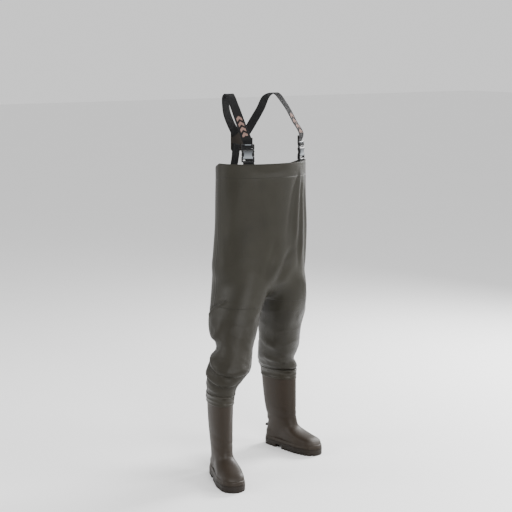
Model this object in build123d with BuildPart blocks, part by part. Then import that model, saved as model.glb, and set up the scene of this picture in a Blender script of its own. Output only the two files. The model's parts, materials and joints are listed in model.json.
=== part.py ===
"""Chest waders with fixed boots, in the shape they have when they are worn.

The waders face -Y, the wearer's right is -X and +Z is up. The origin is on the
ground, in the middle of the space that the waders stand in. Units are millimetres.
"""

import os
from math import cos, radians, sin

from build123d import *

os.makedirs("parts", exist_ok=True)

# ---------------------------------------------------------------- driving sizes
# where the wearer's middle stands, seen from above
BODY_X = 54.4
BODY_Y = 52.2

# body cloth: heights, and the half width (X) and half depth (Y) at each
HEM_Z = 1300
BACK_DROP = 55
CHEST_HALF_WIDTH = 210
CHEST_HALF_DEPTH = 142
WAIST_Z = 1020
WAIST_HALF_WIDTH = 212
WAIST_HALF_DEPTH = 154
SEAT_Z = 790
SEAT_HALF_WIDTH = 222
SEAT_HALF_DEPTH = 160
SKIRT_HALF_WIDTH = 244
SKIRT_HALF_DEPTH = 152
SKIRT_SHIFT = (-26, -22)
SKIRT_TRIM = 15
CLOTH = 2.0

# what is fastened to the body cloth
HEM_BAND = 58
HEM_CLOTH = 1.5
TAPE_WIDTH = 22
TAPE_THICK = 0.8
POCKET_HALF_WIDTH = 85
POCKET_HEIGHT = 160
POCKET_BELOW_HEM = 84
POCKET_CLOTH = 1.2
GUSSET_HALF_WIDTH = 46
LAYER_GAP = 0.3

# legs
HIP_Z = 800
HIP_RADIUS = 180
KNEE_Z = 515
KNEE_RADIUS = 138
FOLD_GAP = 3.0
CROTCH_GAP = 12
THIGH_Z = 640
THIGH_HALF_WIDTH = 92
THIGH_HALF_DEPTH = 112
KNEE_HALF_WIDTH = 88
KNEE_HALF_DEPTH = 98
CALF_RISE = 62
CALF_HALF_WIDTH = 70
CALF_HALF_DEPTH = 96
PATCH_CLOTH = 1.2
PATCH_HALF_WIDTH = 60
PATCH_TOP_Z = 665
PATCH_BOTTOM_Z = 455

# boots, in their own frame: back of the heel at the origin, toe towards -Y
BOOT_LENGTH = 302
BALL_RADIUS = 50
BALL_FROM_TOE = 96
TOE_RADIUS = 39
HEEL_RADIUS = 34
TOE_HEIGHT = 62
INSTEP_HEIGHT = 84
SHAFT_HEIGHT = 345
SHAFT_HALF_WIDTH = 52
SHAFT_HALF_DEPTH = 94
SHAFT_SETBACK = 62
ANKLE_Z = 125
ANKLE_HALF_WIDTH = 41
ANKLE_HALF_DEPTH = 81
ANKLE_SETBACK = 83
BOOT_WALL = 3.2
SOLE_THICK = 28
SOLE_PLATE = 12
SOLE_WELT = 4.0
HEEL_BLOCK_LENGTH = 84
FORE_BLOCK_START = 124
CLEAT_PITCH = 19
CLEAT_GROOVE = 6
INSOLE_THICK = 5
INSOLE_CLEARANCE = 1.5
TOE_GUARD_HEIGHT = 26
TOE_GUARD_THICK = 2.0
TOE_GUARD_LENGTH = 92
SPUR_Z = 88
SPUR_HALF_WIDTH = 20
SPUR_REACH = 9
SPUR_HEIGHT = 8
BAND_HEIGHT = 44
BAND_OVERLAP = 27
BAND_THICK = 1.6

# shoulder straps and their side-release buckles
WEBBING = 40
WEBBING_THICK = 2.4
STRAP_HALF_SPAN = 139
STRAP_YAW = 30
TAB_BELOW_HEM = 46
TAB_GAP = 0.6
BUCKLE_WIDTH = 54
BUCKLE_THICK = 11
SOCKET_RISE = 8
SOCKET_BODY = 38
SOCKET_LOOP = 12
SOCKET_WALL = 2.2
WINDOW_INSET = 6
WINDOW_HEIGHT = 19
WINDOW_FROM_MOUTH = 9
BAR = 3.6
PLUG_FRAME = 24
PLUG_THICK = 5.4
PLUG_SLOT = 5.0
PLUG_RELEASE = 34
TONGUE_HALF_WIDTH = 7
ARM_WIDTH = 5
BUCKLE_CLEARANCE = 0.5
YOKE_WIDTH = 98
YOKE_HEIGHT = 92
YOKE_THICK = 2.0
YOKE_RISE = 78
YOKE_GAP = 3.0

SIDES = {"right": -1, "left": 1}
# back of each heel from the wearer's middle, and how far the toe turns outwards
HEELS = {"right": (-251, -30, -18.0), "left": (171, 185, 11.5)}
# middle of each leg at the seat, thigh, knee and calf, from the wearer's middle
LEG_COURSE = {
    "right": [(-114, -4), (-180, -52), (-238, -124), (-272, -112)],
    "left": [(114, 0), (122, 6), (143, 48), (169, 110)],
}
# line of each strap: from the wearer's middle, above the hem, and how it is turned
STRAP_COURSE = {
    "right": [
        (-140, -100, 100, -28),
        (-147, -62, 170, -20),
        (-146, -14, 240, -12),
        (-136, 34, 281, -4),
        (-120, 82, 268, 6),
        (-98, 116, 212, 14),
        (-58, 141, 150, 10),
        (-25, 150, 104, 0),
    ],
    "left": [
        (136, -98, 100, 28),
        (122, -66, 170, 26),
        (104, -22, 240, 22),
        (95, 32, 281, 12),
        (88, 82, 268, 0),
        (78, 116, 212, -10),
        (52, 141, 150, -10),
        (25, 150, 104, 0),
    ],
}
SHOULDER_POINT = 3
# each back strap: how far it is from the middle, at a height above the hem
BACK_STRAP_COURSE = [(23, 64), (36, 0), (50, -60), (58, -102)]
BIG = 4000


def save(part, name):
    """Writes one piece of the waders as parts/name.step."""
    part.label = name
    export_step(part, f"parts/{name}.step")
    return part


def half_space(x=0, y=0, z=0, towards=(0, 0, 0)):
    """A very large block from a corner, towards one side on each axis that is not 0."""
    aligns = {-1: Align.MAX, 0: Align.CENTER, 1: Align.MIN}
    with BuildPart() as block:
        with Locations((x, y, z)):
            Box(BIG, BIG, BIG, align=tuple(aligns[way] for way in towards))
    return block.part


# ------------------------------------------------------------------- body cloth
HIP_PLANE = Plane(origin=(0, BODY_Y, HIP_Z), x_dir=(0, 1, 0), z_dir=(1, 0, 0))
SKIRT_Z = HIP_Z - HIP_RADIUS - SKIRT_TRIM
BODY_RINGS = [
    (HEM_Z, CHEST_HALF_WIDTH, CHEST_HALF_DEPTH, (0, 0)),
    (WAIST_Z, WAIST_HALF_WIDTH, WAIST_HALF_DEPTH, (0, 0)),
    (SEAT_Z, SEAT_HALF_WIDTH, SEAT_HALF_DEPTH, (0, 0)),
    (SKIRT_Z, SKIRT_HALF_WIDTH, SKIRT_HALF_DEPTH, SKIRT_SHIFT),
]


def body_volume(inside):
    """The space in the body cloth, so far inside its outer face."""
    with BuildPart() as volume:
        for height, width, depth, shift in BODY_RINGS:
            with BuildSketch(Plane.XY.offset(height)):
                with Locations((BODY_X + shift[0], BODY_Y + shift[1])):
                    Ellipse(width - inside, depth - inside)
        loft(ruled=True)
    return volume.part


def body_layer(inside, thick):
    """A layer of cloth all round the body, so far inside the outer face."""
    with BuildPart() as layer:
        add(body_volume(inside))
        add(body_volume(inside + thick), mode=Mode.SUBTRACT)
    return layer.part


def back_line(below=0):
    """The sloping plane that ends the back of the bib, so far below its edge."""
    slope = (0, BACK_DROP, CHEST_HALF_DEPTH)
    return Plane(origin=(BODY_X, BODY_Y, HEM_Z - below), z_dir=slope)


with BuildPart() as below_hips:
    with Locations((0, 0, HIP_Z)):
        Box(BIG, BIG, BIG, align=(Align.CENTER, Align.CENTER, Align.MAX))
    with BuildSketch(HIP_PLANE):
        Circle(HIP_RADIUS)
    extrude(amount=BIG / 4, both=True, mode=Mode.SUBTRACT)

body_cloth = body_layer(0, CLOTH)
for side, sign in SIDES.items():
    with BuildPart() as front_panel:
        add(body_cloth)
        add(half_space(BODY_X, BODY_Y, 0, (sign, -1, 0)), mode=Mode.INTERSECT)
        add(below_hips.part, mode=Mode.SUBTRACT)
    save(front_panel.part, f"{side}_front_panel")

    with BuildPart() as back_panel:
        add(body_cloth)
        add(half_space(BODY_X, BODY_Y, 0, (sign, 1, 0)), mode=Mode.INTERSECT)
        add(below_hips.part, mode=Mode.SUBTRACT)
        split(bisect_by=back_line(), keep=Keep.BOTTOM)
    save(back_panel.part, f"{side}_back_panel")

hem_layer = body_layer(CLOTH + LAYER_GAP, HEM_CLOTH)
with BuildPart() as front_hem_band:
    add(hem_layer)
    add(half_space(0, BODY_Y, HEM_Z - HEM_BAND, (0, -1, 1)), mode=Mode.INTERSECT)
save(front_hem_band.part, "front_hem_band")

with BuildPart() as back_hem_band:
    add(hem_layer)
    add(half_space(0, BODY_Y, 0, (0, 1, 0)), mode=Mode.INTERSECT)
    split(bisect_by=back_line(), keep=Keep.BOTTOM)
    split(bisect_by=back_line(HEM_BAND), keep=Keep.TOP)
save(back_hem_band.part, "back_hem_band")

tape_layer = body_layer(CLOTH + LAYER_GAP, TAPE_THICK)
for side, sign in SIDES.items():
    with BuildPart() as side_seam_tape:
        add(tape_layer)
        with Locations((BODY_X, BODY_Y, SKIRT_Z)):
            Box(
                BIG,
                TAPE_WIDTH,
                HEM_Z - HEM_BAND - 2 * BACK_DROP * TAPE_WIDTH / CHEST_HALF_DEPTH - SKIRT_Z,
                align=(Align.CENTER, Align.CENTER, Align.MIN),
                mode=Mode.INTERSECT,
            )
        add(half_space(BODY_X, 0, 0, (sign, 0, 0)), mode=Mode.INTERSECT)
        add(below_hips.part, mode=Mode.SUBTRACT)
    save(side_seam_tape.part, f"{side}_side_seam_tape")

with BuildPart() as chest_pocket:
    add(body_layer(CLOTH + LAYER_GAP, POCKET_CLOTH))
    with Locations((BODY_X, BODY_Y, HEM_Z - POCKET_BELOW_HEM)):
        Box(
            2 * POCKET_HALF_WIDTH,
            BIG,
            POCKET_HEIGHT,
            align=(Align.CENTER, Align.MAX, Align.MAX),
            mode=Mode.INTERSECT,
        )
save(chest_pocket.part, "chest_pocket")

with BuildPart() as crotch_gusset:
    with BuildSketch(HIP_PLANE):
        Circle(HIP_RADIUS - LAYER_GAP)
        Circle(HIP_RADIUS - LAYER_GAP - CLOTH, mode=Mode.SUBTRACT)
        Rectangle(BIG, BIG, align=(Align.CENTER, Align.MIN), mode=Mode.SUBTRACT)
    extrude(amount=GUSSET_HALF_WIDTH, both=True)
gusset = Pos(BODY_X, 0, 0) * crotch_gusset.part
gusset = gusset & body_volume(CLOTH + LAYER_GAP)
with BuildPart() as crotch_gusset:
    add(gusset)
save(crotch_gusset.part, "crotch_gusset")


# ------------------------------------------------------------------------- legs
def heel_plane(side, height=0):
    """The plane that a boot is drawn on: heel at its origin, toe towards its -Y."""
    x, y, turn = HEELS[side]
    return Plane(
        origin=(BODY_X + x, BODY_Y + y, height),
        x_dir=(cos(radians(turn)), sin(radians(turn)), 0),
        z_dir=(0, 0, 1),
    )


def leg_volume(side, inside):
    """The space in one leg of the waders, so far inside the cloth's outer face."""
    turn = HEELS[side][2]
    seat, thigh, knee, calf = LEG_COURSE[side]
    inner_edge = CROTCH_GAP / 2
    rings = [
        (SEAT_Z, (SEAT_HALF_WIDTH - inner_edge) / 2, SEAT_HALF_DEPTH, 0, seat),
        (THIGH_Z, THIGH_HALF_WIDTH, THIGH_HALF_DEPTH, turn / 2, thigh),
        (KNEE_Z, KNEE_HALF_WIDTH, KNEE_HALF_DEPTH, turn, knee),
        (SHAFT_HEIGHT + CALF_RISE, CALF_HALF_WIDTH, CALF_HALF_DEPTH, turn, calf),
    ]
    with BuildPart() as volume:
        for height, width, depth, angle, (x, y) in rings:
            with BuildSketch(Plane.XY.offset(height)):
                with Locations((BODY_X + x, BODY_Y + y)):
                    Ellipse(width - inside, depth - inside, rotation=angle)
        with BuildSketch(heel_plane(side, SHAFT_HEIGHT + LAYER_GAP)):
            with Locations((0, -SHAFT_SETBACK)):
                Ellipse(SHAFT_HALF_WIDTH - inside, SHAFT_HALF_DEPTH - inside)
        loft(ruled=True)
    return volume.part


def knee_zone(side, radius):
    """All that is below the knee and further than a radius from its axis."""
    x, y = LEG_COURSE[side][2]
    turn = radians(HEELS[side][2])
    axis_plane = Plane(
        origin=(BODY_X + x, BODY_Y + y, KNEE_Z),
        x_dir=(-sin(turn), cos(turn), 0),
        z_dir=(cos(turn), sin(turn), 0),
    )
    with BuildPart() as zone:
        with Locations((0, 0, KNEE_Z)):
            Box(BIG, BIG, BIG, align=(Align.CENTER, Align.CENTER, Align.MAX))
        with BuildSketch(axis_plane):
            Circle(radius)
        extrude(amount=BIG / 4, both=True, mode=Mode.SUBTRACT)
    return zone.part


with BuildPart() as hip_zone:
    with Locations((0, 0, HIP_Z)):
        Box(BIG, BIG, BIG, align=(Align.CENTER, Align.CENTER, Align.MIN))
    with BuildSketch(HIP_PLANE):
        Circle(HIP_RADIUS + FOLD_GAP)
    extrude(amount=BIG / 4, both=True)


def thigh_plane(side):
    """The plane through a thigh's middle that parts its front cloth from its back."""
    seat, _, knee, _ = LEG_COURSE[side]
    turn = radians(HEELS[side][2] / 2)
    across = Vector(cos(turn), sin(turn), 0)
    along = Vector(seat[0] - knee[0], seat[1] - knee[1], SEAT_Z - KNEE_Z)
    return Plane(
        origin=(BODY_X + knee[0], BODY_Y + knee[1], KNEE_Z),
        x_dir=across,
        z_dir=along.cross(across),
    )


for side, sign in SIDES.items():
    outer = leg_volume(side, 0)
    lining = leg_volume(side, CLOTH)
    with BuildPart() as thigh_sleeve:
        add(outer)
        add(lining, mode=Mode.SUBTRACT)
        add(hip_zone.part, mode=Mode.SUBTRACT)
        add(knee_zone(side, KNEE_RADIUS), mode=Mode.SUBTRACT)
        inner_x = BODY_X + sign * CROTCH_GAP / 2
        add(half_space(inner_x, 0, 0, (sign, 0, 0)), mode=Mode.INTERSECT)

    with BuildPart() as thigh_front:
        add(thigh_sleeve.part)
        split(bisect_by=thigh_plane(side), keep=Keep.BOTTOM)
    save(thigh_front.part, f"{side}_thigh_front")

    with BuildPart() as thigh_back:
        add(thigh_sleeve.part)
        split(bisect_by=thigh_plane(side), keep=Keep.TOP)
    save(thigh_back.part, f"{side}_thigh_back")

    with BuildPart() as shin_sleeve:
        add(outer)
        add(lining, mode=Mode.SUBTRACT)
        add(knee_zone(side, KNEE_RADIUS + FOLD_GAP), mode=Mode.INTERSECT)
    save(shin_sleeve.part, f"{side}_shin_sleeve")

    turn = HEELS[side][2]
    knee_x, knee_y = LEG_COURSE[side][2]
    patch_plane = Plane(
        origin=(BODY_X + knee_x, BODY_Y + knee_y, PATCH_BOTTOM_Z),
        x_dir=(cos(radians(turn)), sin(radians(turn)), 0),
        z_dir=(0, 0, 1),
    )
    with BuildPart(patch_plane) as patch_outline:
        Box(
            2 * PATCH_HALF_WIDTH,
            BIG,
            PATCH_TOP_Z - PATCH_BOTTOM_Z,
            align=(Align.CENTER, Align.MAX, Align.MIN),
        )
    with BuildPart() as knee_patch:
        add(leg_volume(side, -LAYER_GAP - PATCH_CLOTH))
        add(leg_volume(side, -LAYER_GAP), mode=Mode.SUBTRACT)
        add(patch_outline.part, mode=Mode.INTERSECT)
        add(knee_zone(side, KNEE_RADIUS), mode=Mode.SUBTRACT)
        add(hip_zone.part, mode=Mode.SUBTRACT)
    save(knee_patch.part, f"{side}_knee_patch")


# ------------------------------------------------------------------------ boots
SHAFT_RINGS = [
    (SOLE_THICK + BOOT_WALL, HEEL_RADIUS, ANKLE_HALF_DEPTH - 4, ANKLE_SETBACK - 2),
    (ANKLE_Z, ANKLE_HALF_WIDTH, ANKLE_HALF_DEPTH, ANKLE_SETBACK),
    (SHAFT_HEIGHT, SHAFT_HALF_WIDTH, SHAFT_HALF_DEPTH, SHAFT_SETBACK),
]


def foot_outline(outside):
    """The foot seen from above, so far outside the boot's upper."""
    with BuildSketch() as outline:
        with BuildLine():
            CenterArc((0, -HEEL_RADIUS), HEEL_RADIUS + outside, 0, 360)
            CenterArc((0, BALL_FROM_TOE - BOOT_LENGTH), BALL_RADIUS + outside, 0, 360)
            CenterArc((0, TOE_RADIUS - BOOT_LENGTH), TOE_RADIUS + outside, 0, 360)
        make_hull()
    return outline.sketch


def boot_volume(inside):
    """The space in a boot, so far inside its outer face."""
    toe = -BOOT_LENGTH + inside
    heel = -inside
    with BuildPart() as volume:
        with BuildSketch(Plane.XY.offset(SOLE_THICK + inside)):
            add(foot_outline(-inside))
        extrude(amount=ANKLE_Z)
        with BuildSketch(Plane.YZ) as profile:
            with BuildLine():
                Polyline(
                    (heel, SOLE_THICK + inside),
                    (heel, SPUR_Z),
                    (heel - 4, ANKLE_Z),
                    (-2 * ANKLE_HALF_DEPTH + inside, ANKLE_Z + 6),
                    (-2 * ANKLE_HALF_DEPTH - 22 + inside, INSTEP_HEIGHT + 16 - inside),
                    (-2 * ANKLE_HALF_DEPTH - 60 + inside, INSTEP_HEIGHT - inside),
                    (toe + 42, TOE_HEIGHT + 2 - inside),
                    (toe + 12, TOE_HEIGHT - 10 - inside),
                    (toe, TOE_HEIGHT - 24 - inside / 2),
                    (toe, SOLE_THICK + inside),
                    close=True,
                )
            make_face()
        extrude(amount=BALL_RADIUS, both=True, mode=Mode.INTERSECT)
        for height, width, depth, back in SHAFT_RINGS:
            with BuildSketch(Plane.XY.offset(height)):
                with Locations((0, -back)):
                    Ellipse(width - inside, depth - inside)
        loft(ruled=True)
    return volume.part


with BuildPart() as boot_upper:
    add(boot_volume(0))
    add(boot_volume(BOOT_WALL), mode=Mode.SUBTRACT)

with BuildPart() as outsole:
    with BuildSketch():
        add(foot_outline(SOLE_WELT))
    extrude(amount=SOLE_THICK)
    with Locations((0, -HEEL_BLOCK_LENGTH, 0)):
        Box(
            BIG,
            FORE_BLOCK_START - HEEL_BLOCK_LENGTH,
            SOLE_THICK - SOLE_PLATE,
            align=(Align.CENTER, Align.MAX, Align.MIN),
            mode=Mode.SUBTRACT,
        )
    groove_depth = (SOLE_THICK - SOLE_PLATE) / 2
    grooves = int((BOOT_LENGTH - FORE_BLOCK_START) / CLEAT_PITCH)
    for groove in range(grooves):
        with Locations((0, -FORE_BLOCK_START - CLEAT_PITCH * (groove + 0.6), 0)):
            Box(
                BIG,
                CLEAT_GROOVE,
                groove_depth,
                align=(Align.CENTER, Align.MAX, Align.MIN),
                mode=Mode.SUBTRACT,
            )
    with Locations((0, -HEEL_BLOCK_LENGTH / 2, 0)):
        Box(
            BIG,
            CLEAT_GROOVE,
            groove_depth,
            align=(Align.CENTER, Align.CENTER, Align.MIN),
            mode=Mode.SUBTRACT,
        )

with BuildPart() as insole:
    with BuildSketch(Plane.XY.offset(SOLE_THICK + BOOT_WALL + LAYER_GAP)):
        add(foot_outline(-BOOT_WALL - INSOLE_CLEARANCE))
    extrude(amount=INSOLE_THICK)

with BuildPart() as toe_guard:
    with BuildSketch(Plane.XY.offset(SOLE_THICK + LAYER_GAP)):
        add(foot_outline(LAYER_GAP + TOE_GUARD_THICK))
        add(foot_outline(LAYER_GAP), mode=Mode.SUBTRACT)
        with Locations((0, TOE_GUARD_LENGTH - BOOT_LENGTH)):
            Rectangle(
                BIG, BIG, align=(Align.CENTER, Align.MAX), mode=Mode.INTERSECT
            )
    extrude(amount=TOE_GUARD_HEIGHT)

with BuildPart() as kick_spur:
    with BuildSketch(Plane.XY.offset(SPUR_Z - SPUR_HEIGHT)):
        with Locations((0, -HEEL_RADIUS)):
            Circle(HEEL_RADIUS + SPUR_REACH)
            Circle(HEEL_RADIUS + LAYER_GAP, mode=Mode.SUBTRACT)
        Rectangle(
            2 * SPUR_HALF_WIDTH,
            HEEL_RADIUS,
            mode=Mode.INTERSECT,
        )
    extrude(amount=SPUR_HEIGHT)


def band_volume(side, outside):
    """The space in the band round a boot's top, so far outside the boot."""
    overlap_share = BAND_OVERLAP / (SHAFT_HEIGHT - ANKLE_Z)
    rise_share = (BAND_HEIGHT - BAND_OVERLAP) / CALF_RISE
    x, y, turn = HEELS[side]
    top_x = x + SHAFT_SETBACK * sin(radians(turn))
    top_y = y - SHAFT_SETBACK * cos(radians(turn))
    calf_x, calf_y = LEG_COURSE[side][3]

    def between(start, end, share):
        return start + (end - start) * share

    with BuildPart() as volume:
        with BuildSketch(heel_plane(side, SHAFT_HEIGHT - BAND_OVERLAP)):
            with Locations((0, -between(SHAFT_SETBACK, ANKLE_SETBACK, overlap_share))):
                Ellipse(
                    between(SHAFT_HALF_WIDTH, ANKLE_HALF_WIDTH, overlap_share) + outside,
                    between(SHAFT_HALF_DEPTH, ANKLE_HALF_DEPTH, overlap_share) + outside,
                )
        with BuildSketch(heel_plane(side, SHAFT_HEIGHT)):
            with Locations((0, -SHAFT_SETBACK)):
                Ellipse(SHAFT_HALF_WIDTH + outside, SHAFT_HALF_DEPTH + outside)
        with BuildSketch(Plane.XY.offset(SHAFT_HEIGHT - BAND_OVERLAP + BAND_HEIGHT)):
            middle_x = BODY_X + between(top_x, calf_x, rise_share)
            middle_y = BODY_Y + between(top_y, calf_y, rise_share)
            with Locations((middle_x, middle_y)):
                Ellipse(
                    between(SHAFT_HALF_WIDTH, CALF_HALF_WIDTH, rise_share) + outside,
                    between(SHAFT_HALF_DEPTH, CALF_HALF_DEPTH, rise_share) + outside,
                    rotation=turn,
                )
        loft(ruled=True)
    return volume.part


BOOT_PIECES = {
    "boot_upper": boot_upper,
    "outsole": outsole,
    "insole": insole,
    "toe_guard": toe_guard,
    "kick_spur": kick_spur,
}
for side in SIDES:
    for piece_name, piece in BOOT_PIECES.items():
        placed = heel_plane(side).location * piece.part
        save(placed, f"{side}_{piece_name}")
    with BuildPart() as join_band:
        add(band_volume(side, LAYER_GAP + BAND_THICK))
        add(band_volume(side, LAYER_GAP), mode=Mode.SUBTRACT)
    save(join_band.part, f"{side}_join_band")


# --------------------------------------------------------- buckles and strap tabs
def buckle_plane(side):
    """On the hem's outer face: X across the strap, -Y away from the chest."""
    across = STRAP_HALF_SPAN / CHEST_HALF_WIDTH
    turn = radians(SIDES[side] * STRAP_YAW)
    return Plane(
        origin=(
            BODY_X + SIDES[side] * STRAP_HALF_SPAN,
            BODY_Y - CHEST_HALF_DEPTH * (1 - across**2) ** 0.5,
            HEM_Z,
        ),
        x_dir=(cos(turn), sin(turn), 0),
        z_dir=(0, 0, 1),
    )


BUCKLE_DEPTH = CLOTH + HEM_CLOTH + 2 * LAYER_GAP + TAB_GAP + WEBBING_THICK + 0.6
BAR_Z = SOCKET_RISE + BAR / 2
BODY_START = SOCKET_RISE + SOCKET_LOOP
BODY_END = BODY_START + SOCKET_BODY
FRAME_START = BODY_END + BUCKLE_CLEARANCE
WINDOW_Z = BODY_END - WINDOW_FROM_MOUTH - WINDOW_HEIGHT / 2
ARM_OUTER = BUCKLE_WIDTH / 2 - SOCKET_WALL - BUCKLE_CLEARANCE
BUCKLE_MIDDLE = Plane(origin=(0, BUCKLE_DEPTH, 0), x_dir=(1, 0, 0), z_dir=(0, -1, 0))
BUCKLE_SIDE = Plane(origin=(0, BUCKLE_DEPTH, 0), x_dir=(0, 1, 0), z_dir=(1, 0, 0))

with BuildPart() as strap_tab:
    eye = BAR / 2 + BUCKLE_CLEARANCE
    with BuildSketch(BUCKLE_SIDE):
        with Locations((0, -TAB_BELOW_HEM)):
            Rectangle(
                2 * WEBBING_THICK,
                TAB_BELOW_HEM + BAR_Z,
                align=(Align.CENTER, Align.MIN),
            )
        with Locations((0, BAR_Z)):
            Circle(eye + WEBBING_THICK)
            Circle(eye, mode=Mode.SUBTRACT)
    extrude(amount=WEBBING / 2, both=True)

with BuildPart() as buckle_socket:
    with BuildSketch(BUCKLE_MIDDLE):
        with Locations((0, SOCKET_RISE)):
            Rectangle(
                BUCKLE_WIDTH, SOCKET_LOOP + SOCKET_BODY, align=(Align.CENTER, Align.MIN)
            )
        with Locations((0, SOCKET_RISE + BAR)):
            Rectangle(
                WEBBING + 2 * BUCKLE_CLEARANCE,
                SOCKET_LOOP - BAR,
                align=(Align.CENTER, Align.MIN),
                mode=Mode.SUBTRACT,
            )
        with Locations((-BUCKLE_WIDTH / 2, WINDOW_Z), (BUCKLE_WIDTH / 2, WINDOW_Z)):
            Ellipse(WINDOW_INSET, WINDOW_HEIGHT / 2, mode=Mode.SUBTRACT)
    extrude(amount=BUCKLE_THICK / 2, both=True)
    with BuildSketch(BUCKLE_MIDDLE):
        with Locations((0, SOCKET_RISE)):
            Rectangle(
                WEBBING + 2 * BUCKLE_CLEARANCE, BAR, align=(Align.CENTER, Align.MIN)
            )
    extrude(amount=BUCKLE_THICK / 2, both=True, mode=Mode.SUBTRACT)
    with BuildSketch(BUCKLE_MIDDLE):
        with Locations((0, BODY_START + SOCKET_WALL)):
            Rectangle(
                BUCKLE_WIDTH - 2 * SOCKET_WALL, SOCKET_BODY, align=(Align.CENTER, Align.MIN)
            )
    extrude(amount=BUCKLE_THICK / 2 - SOCKET_WALL, both=True, mode=Mode.SUBTRACT)
    with BuildSketch(BUCKLE_SIDE):
        with Locations((0, BAR_Z)):
            Circle(BAR / 2)
    extrude(amount=BUCKLE_WIDTH / 2, both=True)

with BuildPart() as buckle_plug:
    with BuildSketch(BUCKLE_MIDDLE):
        with Locations((0, FRAME_START)):
            Rectangle(BUCKLE_WIDTH, PLUG_FRAME, align=(Align.CENTER, Align.MIN))
        for share in (1, 2):
            with Locations((0, FRAME_START + PLUG_FRAME * share / 3)):
                Rectangle(
                    WEBBING + 2 * BUCKLE_CLEARANCE, PLUG_SLOT, mode=Mode.SUBTRACT
                )
        with Locations((0, FRAME_START)):
            Rectangle(
                2 * TONGUE_HALF_WIDTH,
                SOCKET_BODY - 2 * SOCKET_WALL,
                align=(Align.CENTER, Align.MAX),
            )
    extrude(amount=PLUG_THICK / 2, both=True)

with BuildPart() as plug_arm:
    with BuildSketch(BUCKLE_MIDDLE):
        with BuildLine():
            Polyline(
                (ARM_OUTER - ARM_WIDTH, FRAME_START - BUCKLE_CLEARANCE),
                (ARM_OUTER - ARM_WIDTH, WINDOW_Z - WINDOW_HEIGHT / 2 + 1),
                (ARM_OUTER, WINDOW_Z - WINDOW_HEIGHT / 2 + 2),
                (ARM_OUTER + SOCKET_WALL, WINDOW_Z - WINDOW_HEIGHT / 4),
                (ARM_OUTER + SOCKET_WALL, WINDOW_Z + WINDOW_HEIGHT / 4),
                (ARM_OUTER, WINDOW_Z + WINDOW_HEIGHT / 2 - 2),
                (ARM_OUTER, FRAME_START - BUCKLE_CLEARANCE),
                close=True,
            )
        make_face()
    extrude(amount=PLUG_THICK / 2, both=True)

ARMS = {"left_arm": plug_arm.part, "right_arm": mirror(plug_arm.part, Plane.YZ)}
for side in SIDES:
    place = buckle_plane(side).location
    save(place * strap_tab.part, f"{side}_strap_tab")
    save(place * buckle_socket.part, f"{side}_buckle_socket")
    save(place * buckle_plug.part, f"{side}_buckle_plug")
    for arm_name, arm in ARMS.items():
        save(place * arm, f"{side}_plug_{arm_name}")


# ---------------------------------------------------------------------- webbing
def webbing_strap(stations, first, last):
    """A flat strap from one of a course's stations to another.

    A station is a middle point and how far the strap is turned there.
    """
    middles = [Vector(*station[:3]) for station in stations]
    with BuildPart() as strap:
        for index in range(first, last + 1):
            before = middles[max(index - 1, 0)]
            after = middles[min(index + 1, len(middles) - 1)]
            turn = radians(stations[index][3])
            section = Plane(
                origin=middles[index],
                x_dir=(cos(turn), sin(turn), 0),
                z_dir=after - before,
            )
            with BuildSketch(section):
                Rectangle(WEBBING, WEBBING_THICK)
        loft(ruled=True)
    return strap.part


def strap_stations(side):
    """A shoulder strap's course, from the top of its buckle to the back."""
    plug_top = buckle_plane(side).from_local_coords(
        (0, BUCKLE_DEPTH, FRAME_START + PLUG_FRAME + BUCKLE_CLEARANCE)
    )
    turn = SIDES[side] * STRAP_YAW
    start = (plug_top.X, plug_top.Y, plug_top.Z, turn)
    upright = (plug_top.X, plug_top.Y, plug_top.Z + WEBBING / 8, turn)
    course = [
        (BODY_X + x, BODY_Y + y, HEM_Z + z, angle) for x, y, z, angle in STRAP_COURSE[side]
    ]
    return [start, upright] + course


def back_face(x, z):
    """How far behind the wearer's middle a strap lies on the back panels."""
    share = (HEM_Z - z) / (HEM_Z - WAIST_Z)
    width = CHEST_HALF_WIDTH + share * (WAIST_HALF_WIDTH - CHEST_HALF_WIDTH)
    depth = CHEST_HALF_DEPTH + share * (WAIST_HALF_DEPTH - CHEST_HALF_DEPTH)
    clear = WEBBING_THICK / 2 + LAYER_GAP + TAB_GAP
    return depth * (1 - (x / width) ** 2) ** 0.5 + clear


YOKE_Y = BODY_Y + STRAP_COURSE["right"][-1][1]
for side, sign in SIDES.items():
    stations = strap_stations(side)
    shoulder = SHOULDER_POINT + 2
    front_strap = webbing_strap(stations, 0, shoulder)
    save(front_strap, f"{side}_front_strap")
    shoulder_strap = webbing_strap(stations, shoulder, len(stations) - 1)
    save(shoulder_strap, f"{side}_shoulder_strap")

    yoke_end, *lower = BACK_STRAP_COURSE
    back_course = [(BODY_X + sign * yoke_end[0], YOKE_Y, HEM_Z + yoke_end[1], 0)]
    for x, rise in lower:
        turn = -sign * x / CHEST_HALF_WIDTH * STRAP_YAW
        back_y = BODY_Y + back_face(x, HEM_Z + rise)
        back_course.append((BODY_X + sign * x, back_y, HEM_Z + rise, turn))
    back_strap = webbing_strap(back_course, 0, len(back_course) - 1)
    save(back_strap, f"{side}_back_strap")

with BuildPart() as back_yoke:
    yoke_face = YOKE_Y + WEBBING_THICK / 2 + YOKE_GAP
    with Locations((BODY_X, yoke_face, HEM_Z + YOKE_RISE)):
        Box(
            YOKE_WIDTH,
            YOKE_THICK,
            YOKE_HEIGHT,
            align=(Align.CENTER, Align.MIN, Align.CENTER),
        )
    fillet(back_yoke.edges().filter_by(Axis.Y), YOKE_WIDTH / 8)
save(back_yoke.part, "back_yoke")
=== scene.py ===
import json
from math import cos, pi, radians, sin

import bmesh
import bpy
import numpy as np
from bpy.props import FloatProperty, FloatVectorProperty, PointerProperty
from mathutils import Matrix, Vector, noise
from mathutils.bvhtree import BVHTree


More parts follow.
